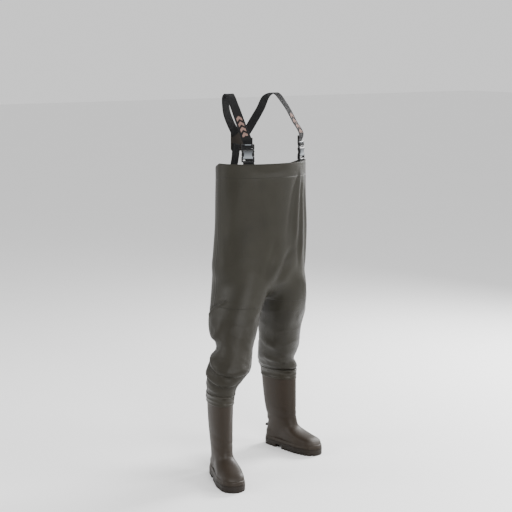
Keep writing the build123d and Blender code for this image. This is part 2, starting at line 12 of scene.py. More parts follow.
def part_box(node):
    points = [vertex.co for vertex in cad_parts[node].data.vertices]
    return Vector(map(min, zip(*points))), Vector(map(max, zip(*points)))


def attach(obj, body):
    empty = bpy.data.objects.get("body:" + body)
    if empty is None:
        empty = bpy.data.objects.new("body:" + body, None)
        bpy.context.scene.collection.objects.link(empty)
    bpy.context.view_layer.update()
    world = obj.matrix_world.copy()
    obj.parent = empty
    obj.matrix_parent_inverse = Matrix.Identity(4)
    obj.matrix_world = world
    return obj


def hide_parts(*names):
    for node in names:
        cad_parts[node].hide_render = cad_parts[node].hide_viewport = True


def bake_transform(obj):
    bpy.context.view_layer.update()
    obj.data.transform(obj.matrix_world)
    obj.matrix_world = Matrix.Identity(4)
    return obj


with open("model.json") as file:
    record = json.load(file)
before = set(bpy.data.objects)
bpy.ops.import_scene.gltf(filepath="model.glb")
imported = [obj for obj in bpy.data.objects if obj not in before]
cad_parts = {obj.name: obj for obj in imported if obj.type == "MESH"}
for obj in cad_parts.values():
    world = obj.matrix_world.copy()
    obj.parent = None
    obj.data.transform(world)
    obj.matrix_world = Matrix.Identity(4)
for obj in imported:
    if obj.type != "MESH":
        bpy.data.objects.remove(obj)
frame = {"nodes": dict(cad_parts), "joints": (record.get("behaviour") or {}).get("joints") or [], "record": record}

bl_info = {
    "name": "Chest Waders",
    "version": (1, 0, 0),
    "blender": (4, 5, 0),
    "location": "3D View > Sidebar > Waders",
    "description": "Chest waders with fixed boots, shoulder straps and side-release buckles",
    "category": "Add Mesh",
}

# ------------------------------------------------------------- places in the frame
BODY_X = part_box("left_front_panel")[0].x
BODY_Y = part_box("right_back_panel")[0].y
HEM_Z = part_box("left_front_panel")[1].z
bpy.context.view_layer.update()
MOUNTS = {m["name"]: m for m in frame["record"]["mounts"]}
JOINTS = {j["name"]: j for j in frame["joints"]}
SIGN = {"right": -1, "left": 1}

CHEST_WIDTH, CHEST_DEPTH, BACK_DROP = 0.210, 0.142, 0.055
CLOTH_END_Z = 0.330
KNEE_SEAM_Z = 0.670
PANEL_SEAM_Z = 0.712
BOOT_TOP_Z = 0.345
SOLE_Z = 0.028
BUCKLE_DEPTH = 0.0077
LEG_TOP_Z = 0.86
HEM_WELD = 0.058
POCKET_HALF_WIDTH, POCKET_BELOW_HEM = 0.086, (0.084, 0.244)
GUSSET_HALF_WIDTH, GUSSET_Z = 0.040, (0.705, 0.80)
TAPE_HALF_WIDTH, TAPE_LOW_Z, TAPE_BELOW_HEM = 0.0125, 0.80, 0.066
STRAP_THICKNESS = 0.0024

# rows of height, middle X, middle Y, half width, half depth, turn in degrees
BODY_RINGS = [
    (1.34, 0.0, 0.0, 0.210, 0.142, 0),
    (1.30, 0.0, 0.0, 0.210, 0.142, 0),
    (1.16, 0.0, 0.0, 0.2105, 0.146, 0),
    (1.02, 0.0, 0.0, 0.212, 0.152, 0),
    (0.92, -0.008, -0.002, 0.214, 0.156, 0),
    (0.84, -0.016, -0.006, 0.215, 0.156, 0),
    (0.80, -0.018, -0.006, 0.204, 0.146, 0),
    (0.77, -0.018, -0.004, 0.148, 0.110, 0),
    (0.745, -0.014, -0.004, 0.085, 0.080, 0),
    (0.725, -0.012, -0.004, 0.030, 0.030, 0),
]
LEG_RINGS = {
    "right": [
        (0.86, -0.100, 0.000, 0.095, 0.146, 0),
        (0.79, -0.112, -0.008, 0.112, 0.153, -4),
        (0.72, -0.141, -0.034, 0.112, 0.138, -7),
        (0.66, -0.174, -0.060, 0.106, 0.120, -9),
        (0.60, -0.201, -0.088, 0.096, 0.108, -12),
        (0.55, -0.219, -0.110, 0.084, 0.099, -15),
        (0.50, -0.240, -0.128, 0.087, 0.099, -18),
        (0.46, -0.252, -0.130, 0.088, 0.102, -18),
        (0.42, -0.262, -0.117, 0.073, 0.096, -18),
        (0.385, -0.269, -0.101, 0.060, 0.0935, -18),
        (0.362, -0.270, -0.096, 0.056, 0.0945, -18),
        (0.345, -0.270, -0.089, 0.0530, 0.0950, -18),
        (0.320, -0.2695, -0.0895, 0.0520, 0.0940, -18),
        (0.300, -0.269, -0.091, 0.0500, 0.0920, -18),
    ],
    "left": [
        (0.86, 0.084, 0.000, 0.090, 0.140, 0),
        (0.79, 0.092, -0.005, 0.096, 0.153, 2),
        (0.72, 0.099, -0.006, 0.091, 0.137, 4),
        (0.66, 0.106, 0.000, 0.094, 0.115, 6),
        (0.60, 0.115, 0.019, 0.089, 0.102, 8),
        (0.55, 0.126, 0.037, 0.085, 0.098, 10),
        (0.50, 0.136, 0.054, 0.083, 0.094, 11.5),
        (0.45, 0.145, 0.080, 0.077, 0.090, 11.5),
        (0.418, 0.150, 0.098, 0.070, 0.088, 11.5),
        (0.385, 0.168, 0.113, 0.064, 0.0955, 11.5),
        (0.360, 0.180, 0.122, 0.057, 0.096, 11.5),
        (0.345, 0.1833, 0.1242, 0.0530, 0.0950, 11.5),
        (0.320, 0.1835, 0.1245, 0.0520, 0.0940, 11.5),
        (0.300, 0.184, 0.123, 0.0500, 0.0920, 11.5),
    ],
}
# folds of the cloth: where (body or a leg), line of (height, degrees round from the
# front towards the wearer's left), width, rise, and the kind of fold
FOLDS = [
    ("body", [(1.275, 40), (1.18, 31), (1.06, 25), (0.93, 22)], 0.015, 0.0050, "fold"),
    ("body", [(1.270, 37), (1.17, 20), (1.05, 12), (0.90, 8)], 0.018, -0.0050, "soft"),
    ("body", [(1.265, 44), (1.15, 40), (1.00, 37), (0.84, 33)], 0.012, 0.0050, "fold"),
    ("body", [(1.268, 47), (1.12, 52), (0.98, 56), (0.82, 56)], 0.016, 0.0036, "fold"),
    ("body", [(1.284, -40), (1.266, -22), (1.268, -4), (1.280, 14)], 0.018, -0.0045, "soft"),
    ("body", [(1.268, -44), (1.15, -58), (1.02, -66), (0.90, -70)], 0.026, 0.0030, "soft"),
    ("body", [(1.268, -38), (1.16, -27), (1.04, -22), (0.88, -18)], 0.030, 0.0028, "soft"),
    ("body", [(1.02, -8), (0.94, -10), (0.86, -16), (0.79, -22)], 0.018, -0.0055, "soft"),
    ("body", [(0.97, 20), (0.90, 11), (0.83, 2), (0.765, -6)], 0.022, -0.0120, "soft"),
    ("body", [(1.02, 40), (0.95, 38), (0.88, 38), (0.81, 40)], 0.020, 0.0040, "soft"),
    ("left", [(0.84, 16), (0.77, 20), (0.70, 24), (0.63, 28)], 0.017, 0.0042, "soft"),
    ("body", [(1.10, -92), (0.98, -84), (0.88, -76), (0.80, -66)], 0.022, 0.0036, "soft"),
    ("body", [(1.22, 170), (1.08, 160), (0.95, 148), (0.84, 138)], 0.022, 0.0045, "fold"),
    ("body", [(1.22, 186), (1.08, 196), (0.95, 208), (0.85, 220)], 0.022, 0.0045, "fold"),
    ("body", [(0.93, 140), (0.87, 152), (0.81, 166), (0.77, 176)], 0.020, 0.0055, "fold"),
    ("body", [(0.92, 225), (0.86, 210), (0.81, 196), (0.77, 184)], 0.020, 0.0055, "fold"),
    ("right", [(0.742, -56), (0.716, -76), (0.686, -98), (0.655, -120)], 0.0085, 0.0075, "fold"),
    ("right", [(0.70, 30), (0.66, 12), (0.61, -6), (0.56, -20)], 0.024, 0.0040, "soft"),
    ("right", [(0.775, 62), (0.73, 58), (0.68, 54), (0.62, 50)], 0.030, -0.0070, "soft"),
    ("right", [(0.68, -60), (0.63, -66), (0.59, -80), (0.57, -100)], 0.018, 0.0050, "soft"),
    ("right", [(0.580, -36), (0.562, -70), (0.550, -104), (0.547, -136), (0.552, -172)], 0.047, -0.0120, "soft"),
    ("right", [(0.580, -40), (0.560, -74), (0.548, -104), (0.545, -136), (0.552, -168)], 0.019, -0.0080, "soft"),
    ("right", [(0.66, -150), (0.62, -128), (0.585, -104), (0.575, -80)], 0.016, 0.0060, "tuck"),
    ("right", [(0.528, -150), (0.520, -120), (0.512, -92), (0.500, -64)], 0.016, 0.0070, "soft"),
    (
        "right", [(0.524, -96), (0.496, -76), (0.474, -48), (0.463, -14), (0.466, 22), (0.486, 58)],
        0.018, 0.0110, "tuck",
    ),
    ("right", [(0.468, -108), (0.442, -82), (0.422, -48), (0.415, -10), (0.424, 30)], 0.014, 0.0090, "tuck"),
    ("right", [(0.408, -130), (0.390, -88), (0.380, -46), (0.378, -4)], 0.009, 0.0030, "tuck"),
    ("right", [(0.560, 190), (0.545, 160), (0.545, 128), (0.555, 100)], 0.018, -0.0110, "soft"),
    ("right", [(0.515, 220), (0.495, 180), (0.490, 140), (0.505, 100)], 0.018, 0.0080, "tuck"),
    ("right", [(0.450, 230), (0.430, 186), (0.425, 142), (0.440, 100)], 0.014, 0.0090, "tuck"),
    ("left", [(0.72, 64), (0.66, 50), (0.60, 36), (0.55, 26)], 0.020, 0.0045, "soft"),
    ("left", [(0.72, -20), (0.65, -24), (0.58, -30), (0.52, -36)], 0.022, 0.0040, "soft"),
    ("left", [(0.525, -108), (0.503, -86), (0.487, -64), (0.478, -44)], 0.019, 0.0050, "soft"),
    ("left", [(0.49, 104), (0.462, 80), (0.448, 58), (0.444, 30)], 0.023, -0.0100, "soft"),
    ("left", [(0.525, 100), (0.500, 76), (0.484, 46), (0.478, 8)], 0.023, 0.0034, "soft"),
    ("left", [(0.440, -110), (0.420, -72), (0.412, -36), (0.414, 0)], 0.014, 0.0060, "soft"),
    (
        "left", [(0.400, -150), (0.386, -110), (0.378, -64), (0.375, -16), (0.375, 32), (0.383, 78)],
        0.012, 0.0050, "tuck",
    ),
    ("left", [(0.384, 230), (0.378, 190), (0.378, 150), (0.386, 104)], 0.012, 0.0050, "tuck"),
    ("left", [(0.57, 200), (0.545, 168), (0.53, 136), (0.535, 104)], 0.018, -0.0100, "soft"),
    ("left", [(0.50, 216), (0.480, 176), (0.470, 138), (0.478, 104)], 0.015, 0.0090, "tuck"),
    ("left", [(0.445, 214), (0.430, 172), (0.424, 136), (0.430, 104)], 0.013, 0.0080, "tuck"),
]
STRAP_COURSE = {
    "right": [
        (-0.140, -0.100, 0.100, -28),
        (-0.147, -0.062, 0.170, -20),
        (-0.146, -0.014, 0.240, -12),
        (-0.136, 0.034, 0.281, -4),
        (-0.120, 0.082, 0.268, 6),
        (-0.098, 0.116, 0.212, 14),
        (-0.058, 0.141, 0.150, 10),
        (-0.025, 0.150, 0.104, 0),
    ],
    "left": [
        (0.136, -0.098, 0.100, 28),
        (0.122, -0.066, 0.170, 26),
        (0.104, -0.022, 0.240, 22),
        (0.095, 0.032, 0.281, 12),
        (0.088, 0.082, 0.268, 0),
        (0.078, 0.116, 0.212, -10),
        (0.052, 0.141, 0.150, -10),
        (0.025, 0.150, 0.104, 0),
    ],
}
BACK_STRAP_COURSE = [(0.023, 0.064), (0.036, 0.0), (0.050, -0.060), (0.058, -0.102)]


# ------------------------------------------------------------------ small helpers
def smooth_rows(rows, at):
    """Reads rows of (place, value, ...) at any places, turning smoothly between them."""
    rows = np.array(sorted(rows), float)
    place, value = rows[:, 0], rows[:, 1:]
    lean = np.gradient(value, place, axis=0)
    at = np.clip(np.atleast_1d(np.asarray(at, float)), place[0], place[-1])
    i = np.clip(np.searchsorted(place, at) - 1, 0, len(place) - 2)
    step = (place[i + 1] - place[i])[:, None]
    t = (at[:, None] - place[i][:, None]) / step
    return (
        (2 * t**3 - 3 * t**2 + 1) * value[i]
        + (t**3 - 2 * t**2 + t) * step * lean[i]
        + (3 * t**2 - 2 * t**3) * value[i + 1]
        + (t**3 - t**2) * step * lean[i + 1]
    )


def ring_points(row, degrees, out=0.0):
    """Points round one ring of the body or a leg; 0 degrees is its front."""
    x, y, width, depth, turn = row
    angle = np.radians(np.asarray(degrees, float))
    across, ahead = (width + out) * np.sin(angle), -(depth + out) * np.cos(angle)
    c, s = cos(radians(turn)), sin(radians(turn))
    return np.stack([BODY_X + x + across * c - ahead * s, BODY_Y + y + across * s + ahead * c], -1)


def tube_mesh(rings):
    """A closed tube through rings of points, as vertices and faces."""
    count = len(rings[0])
    vertices = np.concatenate(rings)
    faces = [tuple(range(count))[::-1], tuple(len(vertices) - count + i for i in range(count))]
    for r in range(len(rings) - 1):
        for i in range(count):
            j = (i + 1) % count
            a = r * count
            faces.append((a + i, a + j, a + count + j, a + count + i))
    return vertices, faces


def new_object(name, vertices, faces, finish=None, smooth=True):
    """A mesh object at the origin, with its place in its mesh."""
    mesh = bpy.data.meshes.new(name)
    mesh.from_pydata([tuple(map(float, v)) for v in vertices], [], [tuple(map(int, f)) for f in faces])
    mesh.validate()
    if finish:
        mesh.materials.append(finish)
    mesh.shade_smooth() if smooth else mesh.shade_flat()
    obj = bpy.data.objects.new(name, mesh)
    bpy.context.scene.collection.objects.link(obj)
    return obj


def remove(obj):
    mesh = obj.data
    bpy.data.objects.remove(obj)
    if mesh.users == 0:
        bpy.data.meshes.remove(mesh)


def evaluated_mesh(obj):
    """The object's mesh after its modifiers, with the modifiers taken off."""
    bpy.context.view_layer.update()
    mesh = bpy.data.meshes.new_from_object(obj.evaluated_get(bpy.context.evaluated_depsgraph_get()))
    obj.modifiers.clear()
    old = obj.data
    obj.data = mesh
    if old.users == 0 and isinstance(old, bpy.types.Mesh):
        bpy.data.meshes.remove(old)
    return mesh


def outward(obj, merge=True):
    """Merges doubles, unless told not to, and turns every face outwards."""
    work = bmesh.new()
    work.from_mesh(obj.data)
    if merge:
        bmesh.ops.remove_doubles(work, verts=work.verts, dist=1e-6)
    bmesh.ops.recalc_face_normals(work, faces=work.faces)
    work.to_mesh(obj.data)
    work.free()
    return obj


def join_meshes(name, parts, finish=None, smooth=True):
    """One object of several (vertices, faces) lists."""
    vertices, faces, start = [], [], 0
    for points, polygons in parts:
        vertices.extend(points)
        faces.extend(tuple(start + i for i in face) for face in polygons)
        start += len(points)
    return new_object(name, vertices, faces, finish, smooth)


def union_of(name, parts, voxel):
    """The outside of several overlapping closed tubes as one even quad mesh."""
    obj = outward(join_meshes(name, parts), merge=False)
    remesh = obj.modifiers.new("Even mesh", "REMESH")
    remesh.mode = "VOXEL"
    remesh.voxel_size = voxel
    remesh.adaptivity = 0
    mesh = evaluated_mesh(obj)
    co = np.array([v.co for v in mesh.vertices], float)
    faces = np.array([list(p.vertices) for p in mesh.polygons if len(p.vertices) == 4])
    remove(obj)
    return co, faces


def edges_of(faces):
    pairs = np.concatenate([faces[:, [0, 1]], faces[:, [1, 2]], faces[:, [2, 3]], faces[:, [3, 0]]])
    return np.unique(np.sort(pairs, axis=1), axis=0)


def neighbour_mean(co, edges, count):
    total = np.empty_like(co)
    for axis in range(co.shape[1]):
        total[:, axis] = np.bincount(edges[:, 0], co[edges[:, 1], axis], len(co)) + np.bincount(
            edges[:, 1], co[edges[:, 0], axis], len(co)
        )
    return total / count


def relax(co, edges, rounds):
    """Evens out a surface without shrinking it."""
    count = np.maximum(np.bincount(edges.ravel(), minlength=len(co)), 1)[:, None]
    for _ in range(rounds):
        for share in (0.5, -0.52):
            co = co + share * (neighbour_mean(co, edges, count) - co)
    return co


def soften(co, edges, height, reach, rounds):
    """Rounds off a surface near one height, most at the height itself."""
    count = np.maximum(np.bincount(edges.ravel(), minlength=len(co)), 1)[:, None]
    share = 0.5 * np.exp(-(((co[:, 2:3] - height) / reach) ** 2))
    for _ in range(rounds):
        co = co + share * (neighbour_mean(co, edges, count) - co)
    return co


def surface_normals(co, faces):
    across = np.cross(co[faces[:, 2]] - co[faces[:, 0]], co[faces[:, 3]] - co[faces[:, 1]])
    normal = np.zeros_like(co)
    for axis in range(3):
        for corner in range(4):
            normal[:, axis] += np.bincount(faces[:, corner], across[:, axis], len(co))
    return normal / np.maximum(np.linalg.norm(normal, axis=1), 1e-12)[:, None]


# ------------------------------------------------------------------------ finishes
def add_node(tree, kind, inputs=None, **settings):
    node = tree.nodes.new(kind)
    for key, value in settings.items():
        setattr(node, key, value)
    for key, value in (inputs or {}).items():
        if isinstance(value, bpy.types.NodeSocket):
            tree.links.new(value, node.inputs[key])
        else:
            node.inputs[key].default_value = value
    return node


def maths(tree, operation, first, second=0.0, third=None):
    inputs = {0: first, 1: second}
    if third is not None:
        inputs[2] = third
    return add_node(tree, "ShaderNodeMath", inputs, operation=operation).outputs[0]


def new_finish(name, **sockets):
    """A material with values that are the same all over set on its shader."""
    finish = bpy.data.materials.new(name)
    finish.use_nodes = True
    shader = finish.node_tree.nodes["Principled BSDF"]
    for key, value in sockets.items():
        shader.inputs[key.replace("_", " ").title().replace("Ior", "IOR")].default_value = value
    return finish, finish.node_tree, shader


def object_place(tree):
    return add_node(tree, "ShaderNodeTexCoord").outputs["Object"]


def cloud(tree, place, scale, detail=3.0, rough=0.55):
    inputs = {"Vector": place, "Scale": scale, "Detail": detail, "Roughness": rough}
    return add_node(tree, "ShaderNodeTexNoise", inputs).outputs["Fac"]


def between(tree, value, low, high, to_low, to_high):
    inputs = {0: value, 1: low, 2: high, 3: to_low, 4: to_high}
    return add_node(tree, "ShaderNodeMapRange", inputs).outputs[0]


def two_tones(tree, share, first, second):
    node = add_node(tree, "ShaderNodeMix", data_type="RGBA")
    for index, value in ((0, share), (6, first), (7, second)):
        if isinstance(value, bpy.types.NodeSocket):
            tree.links.new(value, node.inputs[index])
        else:
            node.inputs[index].default_value = (*value, 1) if index else value
    return node.outputs[2]


def bump(tree, height, distance, strength=1.0, under=None):
    inputs = {"Height": height, "Distance": distance, "Strength": strength}
    if under is not None:
        inputs["Normal"] = under
    return add_node(tree, "ShaderNodeBump", inputs).outputs["Normal"]


def shade(colour, share):
    return tuple(min(1.0, c * share) for c in colour)


def line_at(tree, value, middle, half):
    """1 on a thin line where a value is at its middle, 0 elsewhere."""
    distance = maths(tree, "ABSOLUTE", maths(tree, "SUBTRACT", value, middle))
    return between(tree, distance, half * 0.35, half, 1.0, 0.0)


def cloth_finish(name, colour, seams=True):
    """Coated cloth: a fine ribbed weave under a satin coat, with welded seam lines."""
    finish, tree, shader = new_finish(name, specular_ior_level=0.18)
    place = object_place(tree)
    broad, fine = cloud(tree, place, 7.0), cloud(tree, place, 90.0, 2.0)
    tone = two_tones(tree, between(tree, broad, 0.35, 0.65, 0, 1), shade(colour, 0.90), shade(colour, 1.08))
    weave = [
        add_node(
            tree,
            "ShaderNodeTexWave",
            {"Vector": place, "Scale": 190.0, "Distortion": 1.2, "Detail": 1.0, "Detail Scale": 3.0},
            bands_direction=way,
        ).outputs["Fac"]
        for way in "ZX"
    ]
    normal = bump(tree, maths(tree, "ADD", *weave), 0.00012, 0.6)
    normal = bump(tree, fine, 0.0009, 0.35, normal)
    wrinkle = add_node(
        tree,
        "ShaderNodeTexVoronoi",
        {"Vector": place, "Scale": 26.0, "Randomness": 1.0},
        feature="SMOOTH_F1",
    ).outputs["Distance"]
    normal = bump(tree, wrinkle, 0.0030, 0.12, normal)
    if seams:
        below_hem, side_line = (
            add_node(tree, "ShaderNodeAttribute", attribute_name=label).outputs["Fac"]
            for label in ("below_hem", "side_line")
        )
        height = add_node(tree, "ShaderNodeSeparateXYZ", {0: place}).outputs[2]
        lines = line_at(tree, side_line, 0.0, 0.0018)
        for value, middle, half in (
            (below_hem, HEM_WELD, 0.0017), (below_hem, 0.0035, 0.0012), (height, PANEL_SEAM_Z, 0.0020),
        ):
            lines = maths(tree, "MAXIMUM", lines, line_at(tree, value, middle, half))
        welt = line_at(tree, side_line, 0.006, 0.006)
        normal = bump(tree, maths(tree, "SUBTRACT", welt, lines), 0.0009, 0.8, normal)
        tone = two_tones(tree, maths(tree, "MULTIPLY", lines, 0.26), tone, shade(colour, 0.35))
    tree.links.new(tone, shader.inputs["Base Color"])
    tree.links.new(between(tree, broad, 0.3, 0.7, 0.40, 0.50), shader.inputs["Roughness"])
    tree.links.new(normal, shader.inputs["Normal"])
    return finish


def moulded_finish(name, colour, rough, grain=260.0, depth=0.00025, mottle=0.1):
    """Moulded rubber or plastic: a fine grain, faint mottling and rubbed patches."""
    finish, tree, shader = new_finish(name, specular_ior_level=0.24)
    place = object_place(tree)
    broad, fine = cloud(tree, place, 11.0), cloud(tree, place, grain, 4.0)
    share = between(tree, broad, 0.35, 0.65, 0, 1)
    tone = two_tones(tree, share, shade(colour, 1 - mottle), shade(colour, 1 + mottle))
    tree.links.new(tone, shader.inputs["Base Color"])
    tree.links.new(between(tree, broad, 0.3, 0.7, rough - 0.05, rough + 0.07), shader.inputs["Roughness"])
    tree.links.new(bump(tree, fine, depth, 0.7), shader.inputs["Normal"])
    return finish


def webbing_finish(name, colour, motif=None):
    """Woven webbing: close ribs across it, corded edges, and perhaps a woven motif, with painted shade in the
    weave's hollows and a painted highlight on its ribs.
    """
    finish, tree, shader = new_finish(name, roughness=0.85, specular_ior_level=0.22)
    split = add_node(tree, "ShaderNodeSeparateXYZ", {0: add_node(tree, "ShaderNodeUVMap").outputs[0]})
    across, along = split.outputs[0], split.outputs[1]
    edge = maths(tree, "ABSOLUTE", maths(tree, "SUBTRACT", across, 0.5))
    ribs = maths(tree, "SINE", maths(tree, "MULTIPLY", along, 2 * pi / 0.0021))
    diagonal = (maths(tree, "MULTIPLY", across, 2 * pi * 22), maths(tree, "MULTIPLY", along, 2 * pi / 0.0042))
    twill = maths(tree, "SINE", maths(tree, "ADD", *diagonal))
    cords = maths(tree, "SINE", maths(tree, "MULTIPLY", edge, 2 * pi * 26))
    is_edge = between(tree, edge, 0.37, 0.39, 0, 1)
    body = maths(tree, "MULTIPLY", maths(tree, "ADD", ribs, twill), 0.5)
    inner = maths(tree, "MULTIPLY", body, maths(tree, "SUBTRACT", 1.0, is_edge))
    height = maths(tree, "ADD", inner, maths(tree, "MULTIPLY", cords, is_edge))
    # Painted shade and painted highlight: the colour follows the weave's height, darker in its hollows and lighter
    # on its ribs.
    tone = two_tones(tree, between(tree, height, -1, 1, 0, 1), shade(colour, 0.6), shade(colour, 1.5))
    if motif:
        lean = maths(tree, "MULTIPLY", edge, 1.5)
        wave = maths(tree, "FRACT", maths(tree, "ADD", maths(tree, "DIVIDE", along, 0.026), lean))
        chevron = between(tree, maths(tree, "ABSOLUTE", maths(tree, "SUBTRACT", wave, 0.5)), 0.27, 0.29, 1, 0)
        inside = between(tree, edge, 0.29, 0.30, 1, 0)
        length = maths(tree, "ABSOLUTE", maths(tree, "SUBTRACT", along, 0.075))
        shown = maths(tree, "MULTIPLY", chevron, inside)
        shown = maths(tree, "MULTIPLY", shown, between(tree, length, 0.047, 0.048, 1, 0))
        # Painted shade: the motif is dimmed where the weave is low.
        shown = maths(tree, "MULTIPLY", shown, between(tree, height, -0.9, 0.2, 0.55, 1))
        tone = two_tones(tree, shown, tone, motif)
    tree.links.new(tone, shader.inputs["Base Color"])
    tree.links.new(bump(tree, height, 0.00035, 0.9), shader.inputs["Normal"])
    return finish


def painted_highlight_finish(name, colour):
    """A painted highlight on a glossy moulded buckle face: a pale painted reflection below, painted dark towards its
    upper end.
    """
    finish, tree, shader = new_finish(name, roughness=0.20, specular_ior_level=0.5)
    place = object_place(tree)
    height = add_node(tree, "ShaderNodeSeparateXYZ", {0: place}).outputs[2]
    # Painted reflection: the plate is pale below and painted dark towards its upper end.
    share = between(tree, height, HEM_Z + 0.030, HEM_Z + 0.053, 0, 1)
    mottled = two_tones(tree, cloud(tree, place, 60.0), shade(colour, 0.92), shade(colour, 1.08))
    tree.links.new(two_tones(tree, share, mottled, shade(colour, 0.16)), shader.inputs["Base Color"])
    tree.links.new(bump(tree, cloud(tree, place, 600.0, 2.0), 0.00005, 0.6), shader.inputs["Normal"])
    return finish


def felt_finish(name, colour):
    finish, tree, shader = new_finish(name, roughness=0.95, sheen_weight=0.4)
    place = object_place(tree)
    fibres = cloud(tree, place, 600.0, 6.0, 0.75)
    tree.links.new(two_tones(tree, fibres, shade(colour, 0.6), shade(colour, 1.3)), shader.inputs["Base Color"])
    tree.links.new(bump(tree, fibres, 0.0006, 0.8), shader.inputs["Normal"])
    return finish


FINISHES = {}


def make_finishes(sizes):
    """Every finish of the waders, from the colours on the panel."""
    cloth, knee = tuple(sizes.cloth_colour), tuple(sizes.knee_colour)
    boot, strap = tuple(sizes.boot_colour), tuple(sizes.strap_colour)
    FINISHES.update(
        coated_cloth=cloth_finish("Coated cloth", cloth),
        knee_cloth=cloth_finish("Knee cloth", knee),
        plain_cloth=cloth_finish("Lining cloth", shade(cloth, 0.85), seams=False),
        seam_tape=moulded_finish("Seam tape", shade(cloth, 1.1), 0.42, 500.0, 0.0001, 0.05),
        join_band=moulded_finish("Join band rubber", tuple(sizes.band_colour), 0.45, 300.0, 0.0002, 0.08),
        boot_rubber=moulded_finish("Boot rubber", boot, 0.49, 240.0, 0.0004, 0.10),
        sole_rubber=moulded_finish("Sole rubber", shade(boot, 0.62), 0.56, 300.0, 0.0004, 0.16),
        insole_felt=felt_finish("Insole felt", (0.05, 0.05, 0.055)),
        webbing=webbing_finish("Webbing", strap),
        strap_pattern=webbing_finish("Patterned webbing", strap, tuple(sizes.motif_colour)),
        buckle_plastic=moulded_finish("Buckle plastic", (0.0045, 0.0045, 0.005), 0.26, 700.0, 0.00006, 0.1),
        # The buckles' pale front plates are a painted highlight, the painted reflection on the glossy black plastic.
        buckle_face=painted_highlight_finish("Buckle highlight", tuple(sizes.buckle_face_colour)),
        lock_bar=moulded_finish("Lock bar", shade(tuple(sizes.buckle_face_colour), 0.8), 0.30, 600.0, 0.00006, 0.06),
        thread=moulded_finish("Thread", (0.03, 0.028, 0.026), 0.7, 900.0, 0.0001, 0.1),
    )


def dress_node(node, finish):
    """Gives a CAD node that stays its finish."""
    obj = frame["nodes"][node]
    if not obj.material_slots:
        obj.data.materials.append(None)
    for held in obj.material_slots:
        held.material = FINISHES[finish]


# ------------------------------------------------------------------------- repeats
def repeat_tree(name, finish):
    """Geometry Nodes: copies of a small shape along lines, a pitch apart."""
    tree = bpy.data.node_groups.new(name, "GeometryNodeTree")
    tree.interface.new_socket("Lines", in_out="INPUT", socket_type="NodeSocketGeometry")
    tree.interface.new_socket("Shape", in_out="INPUT", socket_type="NodeSocketObject")
    pitch = tree.interface.new_socket("Pitch", in_out="INPUT", socket_type="NodeSocketFloat")
    pitch.subtype = "DISTANCE"
    tree.interface.new_socket("Repeats", in_out="OUTPUT", socket_type="NodeSocketGeometry")
    start = tree.nodes.new("NodeGroupInput")
    end = tree.nodes.new("NodeGroupOutput")
    line = add_node(tree, "GeometryNodeMeshToCurve", {"Mesh": start.outputs["Lines"]})
    spaced = add_node(tree, "GeometryNodeResampleCurve", {"Curve": line.outputs[0]}, mode="LENGTH")
    tree.links.new(start.outputs["Pitch"], spaced.inputs["Length"])
    shape = add_node(tree, "GeometryNodeObjectInfo", {"Object": start.outputs["Shape"]})
    way = tree.nodes.new("GeometryNodeInputTangent")
    turned = add_node(tree, "FunctionNodeAlignRotationToVector", {"Vector": way.outputs[0]}, axis="X")
    copies = add_node(
        tree,
        "GeometryNodeInstanceOnPoints",
        {"Points": spaced.outputs[0], "Instance": shape.outputs["Geometry"], "Rotation": turned.outputs[0]},
    )
    real = add_node(tree, "GeometryNodeRealizeInstances", {"Geometry": copies.outputs[0]})
    painted = add_node(tree, "GeometryNodeSetMaterial", {"Geometry": real.outputs[0], "Material": finish})
    tree.links.new(painted.outputs[0], end.inputs[0])
    return tree


def repeats(name, lines, shape, pitch, finish):
    """One mesh of a small shape repeated along lines of points."""
    vertices, edges = [], []
    for line in lines:
        start = len(vertices)
        vertices.extend(tuple(map(float, p)) for p in line)
        edges.extend((start + i, start + i + 1) for i in range(len(line) - 1))
    mesh = bpy.data.meshes.new(name)
    mesh.from_pydata(vertices, edges, [])
    obj = bpy.data.objects.new(name, mesh)
    bpy.context.scene.collection.objects.link(obj)
    tree = repeat_tree(name + "_repeat", finish)
    modifier = obj.modifiers.new("Repeat", "NODES")
    modifier.node_group = tree
    sockets = {s.name: s.identifier for s in tree.interface.items_tree if s.in_out == "INPUT"}
    modifier[sockets["Shape"]] = shape
    modifier[sockets["Pitch"]] = pitch
    evaluated_mesh(obj)
    if not obj.data.polygons:
        raise RuntimeError(f"{name} has no repeats")
    obj.data.shade_smooth()
    return obj


def pod(name, length, width, height, around=6):
    """A small rounded pod lying along X, as one stitch or nub."""
    angle = np.linspace(0, 2 * pi, around, endpoint=False)
    rings = []
    for share, size in ((-1, 0.25), (-0.72, 0.8), (0, 1.0), (0.72, 0.8), (1, 0.25)):
        along = np.full(around, share * length / 2)
        round_y, round_z = np.cos(angle) * width / 2 * size, np.sin(angle) * height / 2 * size
        rings.append(np.stack([along, round_y, round_z], -1))
    return new_object(name, *tube_mesh(rings))


# -------------------------------------------------------------------- garment cloth
def part_rings(part):
    return BODY_RINGS if part == "body" else LEG_RINGS[part]


def part_tube(part, low, high, step=0.01, around=96):
    heights = np.arange(low, high + 1e-6, step)
    degrees = np.linspace(0, 360, around, endpoint=False)
    rings = []
    for z, row in zip(heights, smooth_rows(part_rings(part), heights)):
        flat = ring_points(row, degrees)
        rings.append(np.column_stack([flat, np.full(around, z)]))
    return tube_mesh(rings)


def fold_line(part, stations):
    """A fold's line in space, near the cloth, a few millimetres between points."""
    share = np.linspace(0, 1, len(stations))
    rows = smooth_rows([(s, *p) for s, p in zip(share, stations)], np.linspace(0, 1, 60))
    middle = smooth_rows(part_rings(part), rows[:, 0])
    flat = np.concatenate([ring_points(m, [a]) for m, a in zip(middle, rows[:, 1])])
    return np.column_stack([flat, rows[:, 0]])


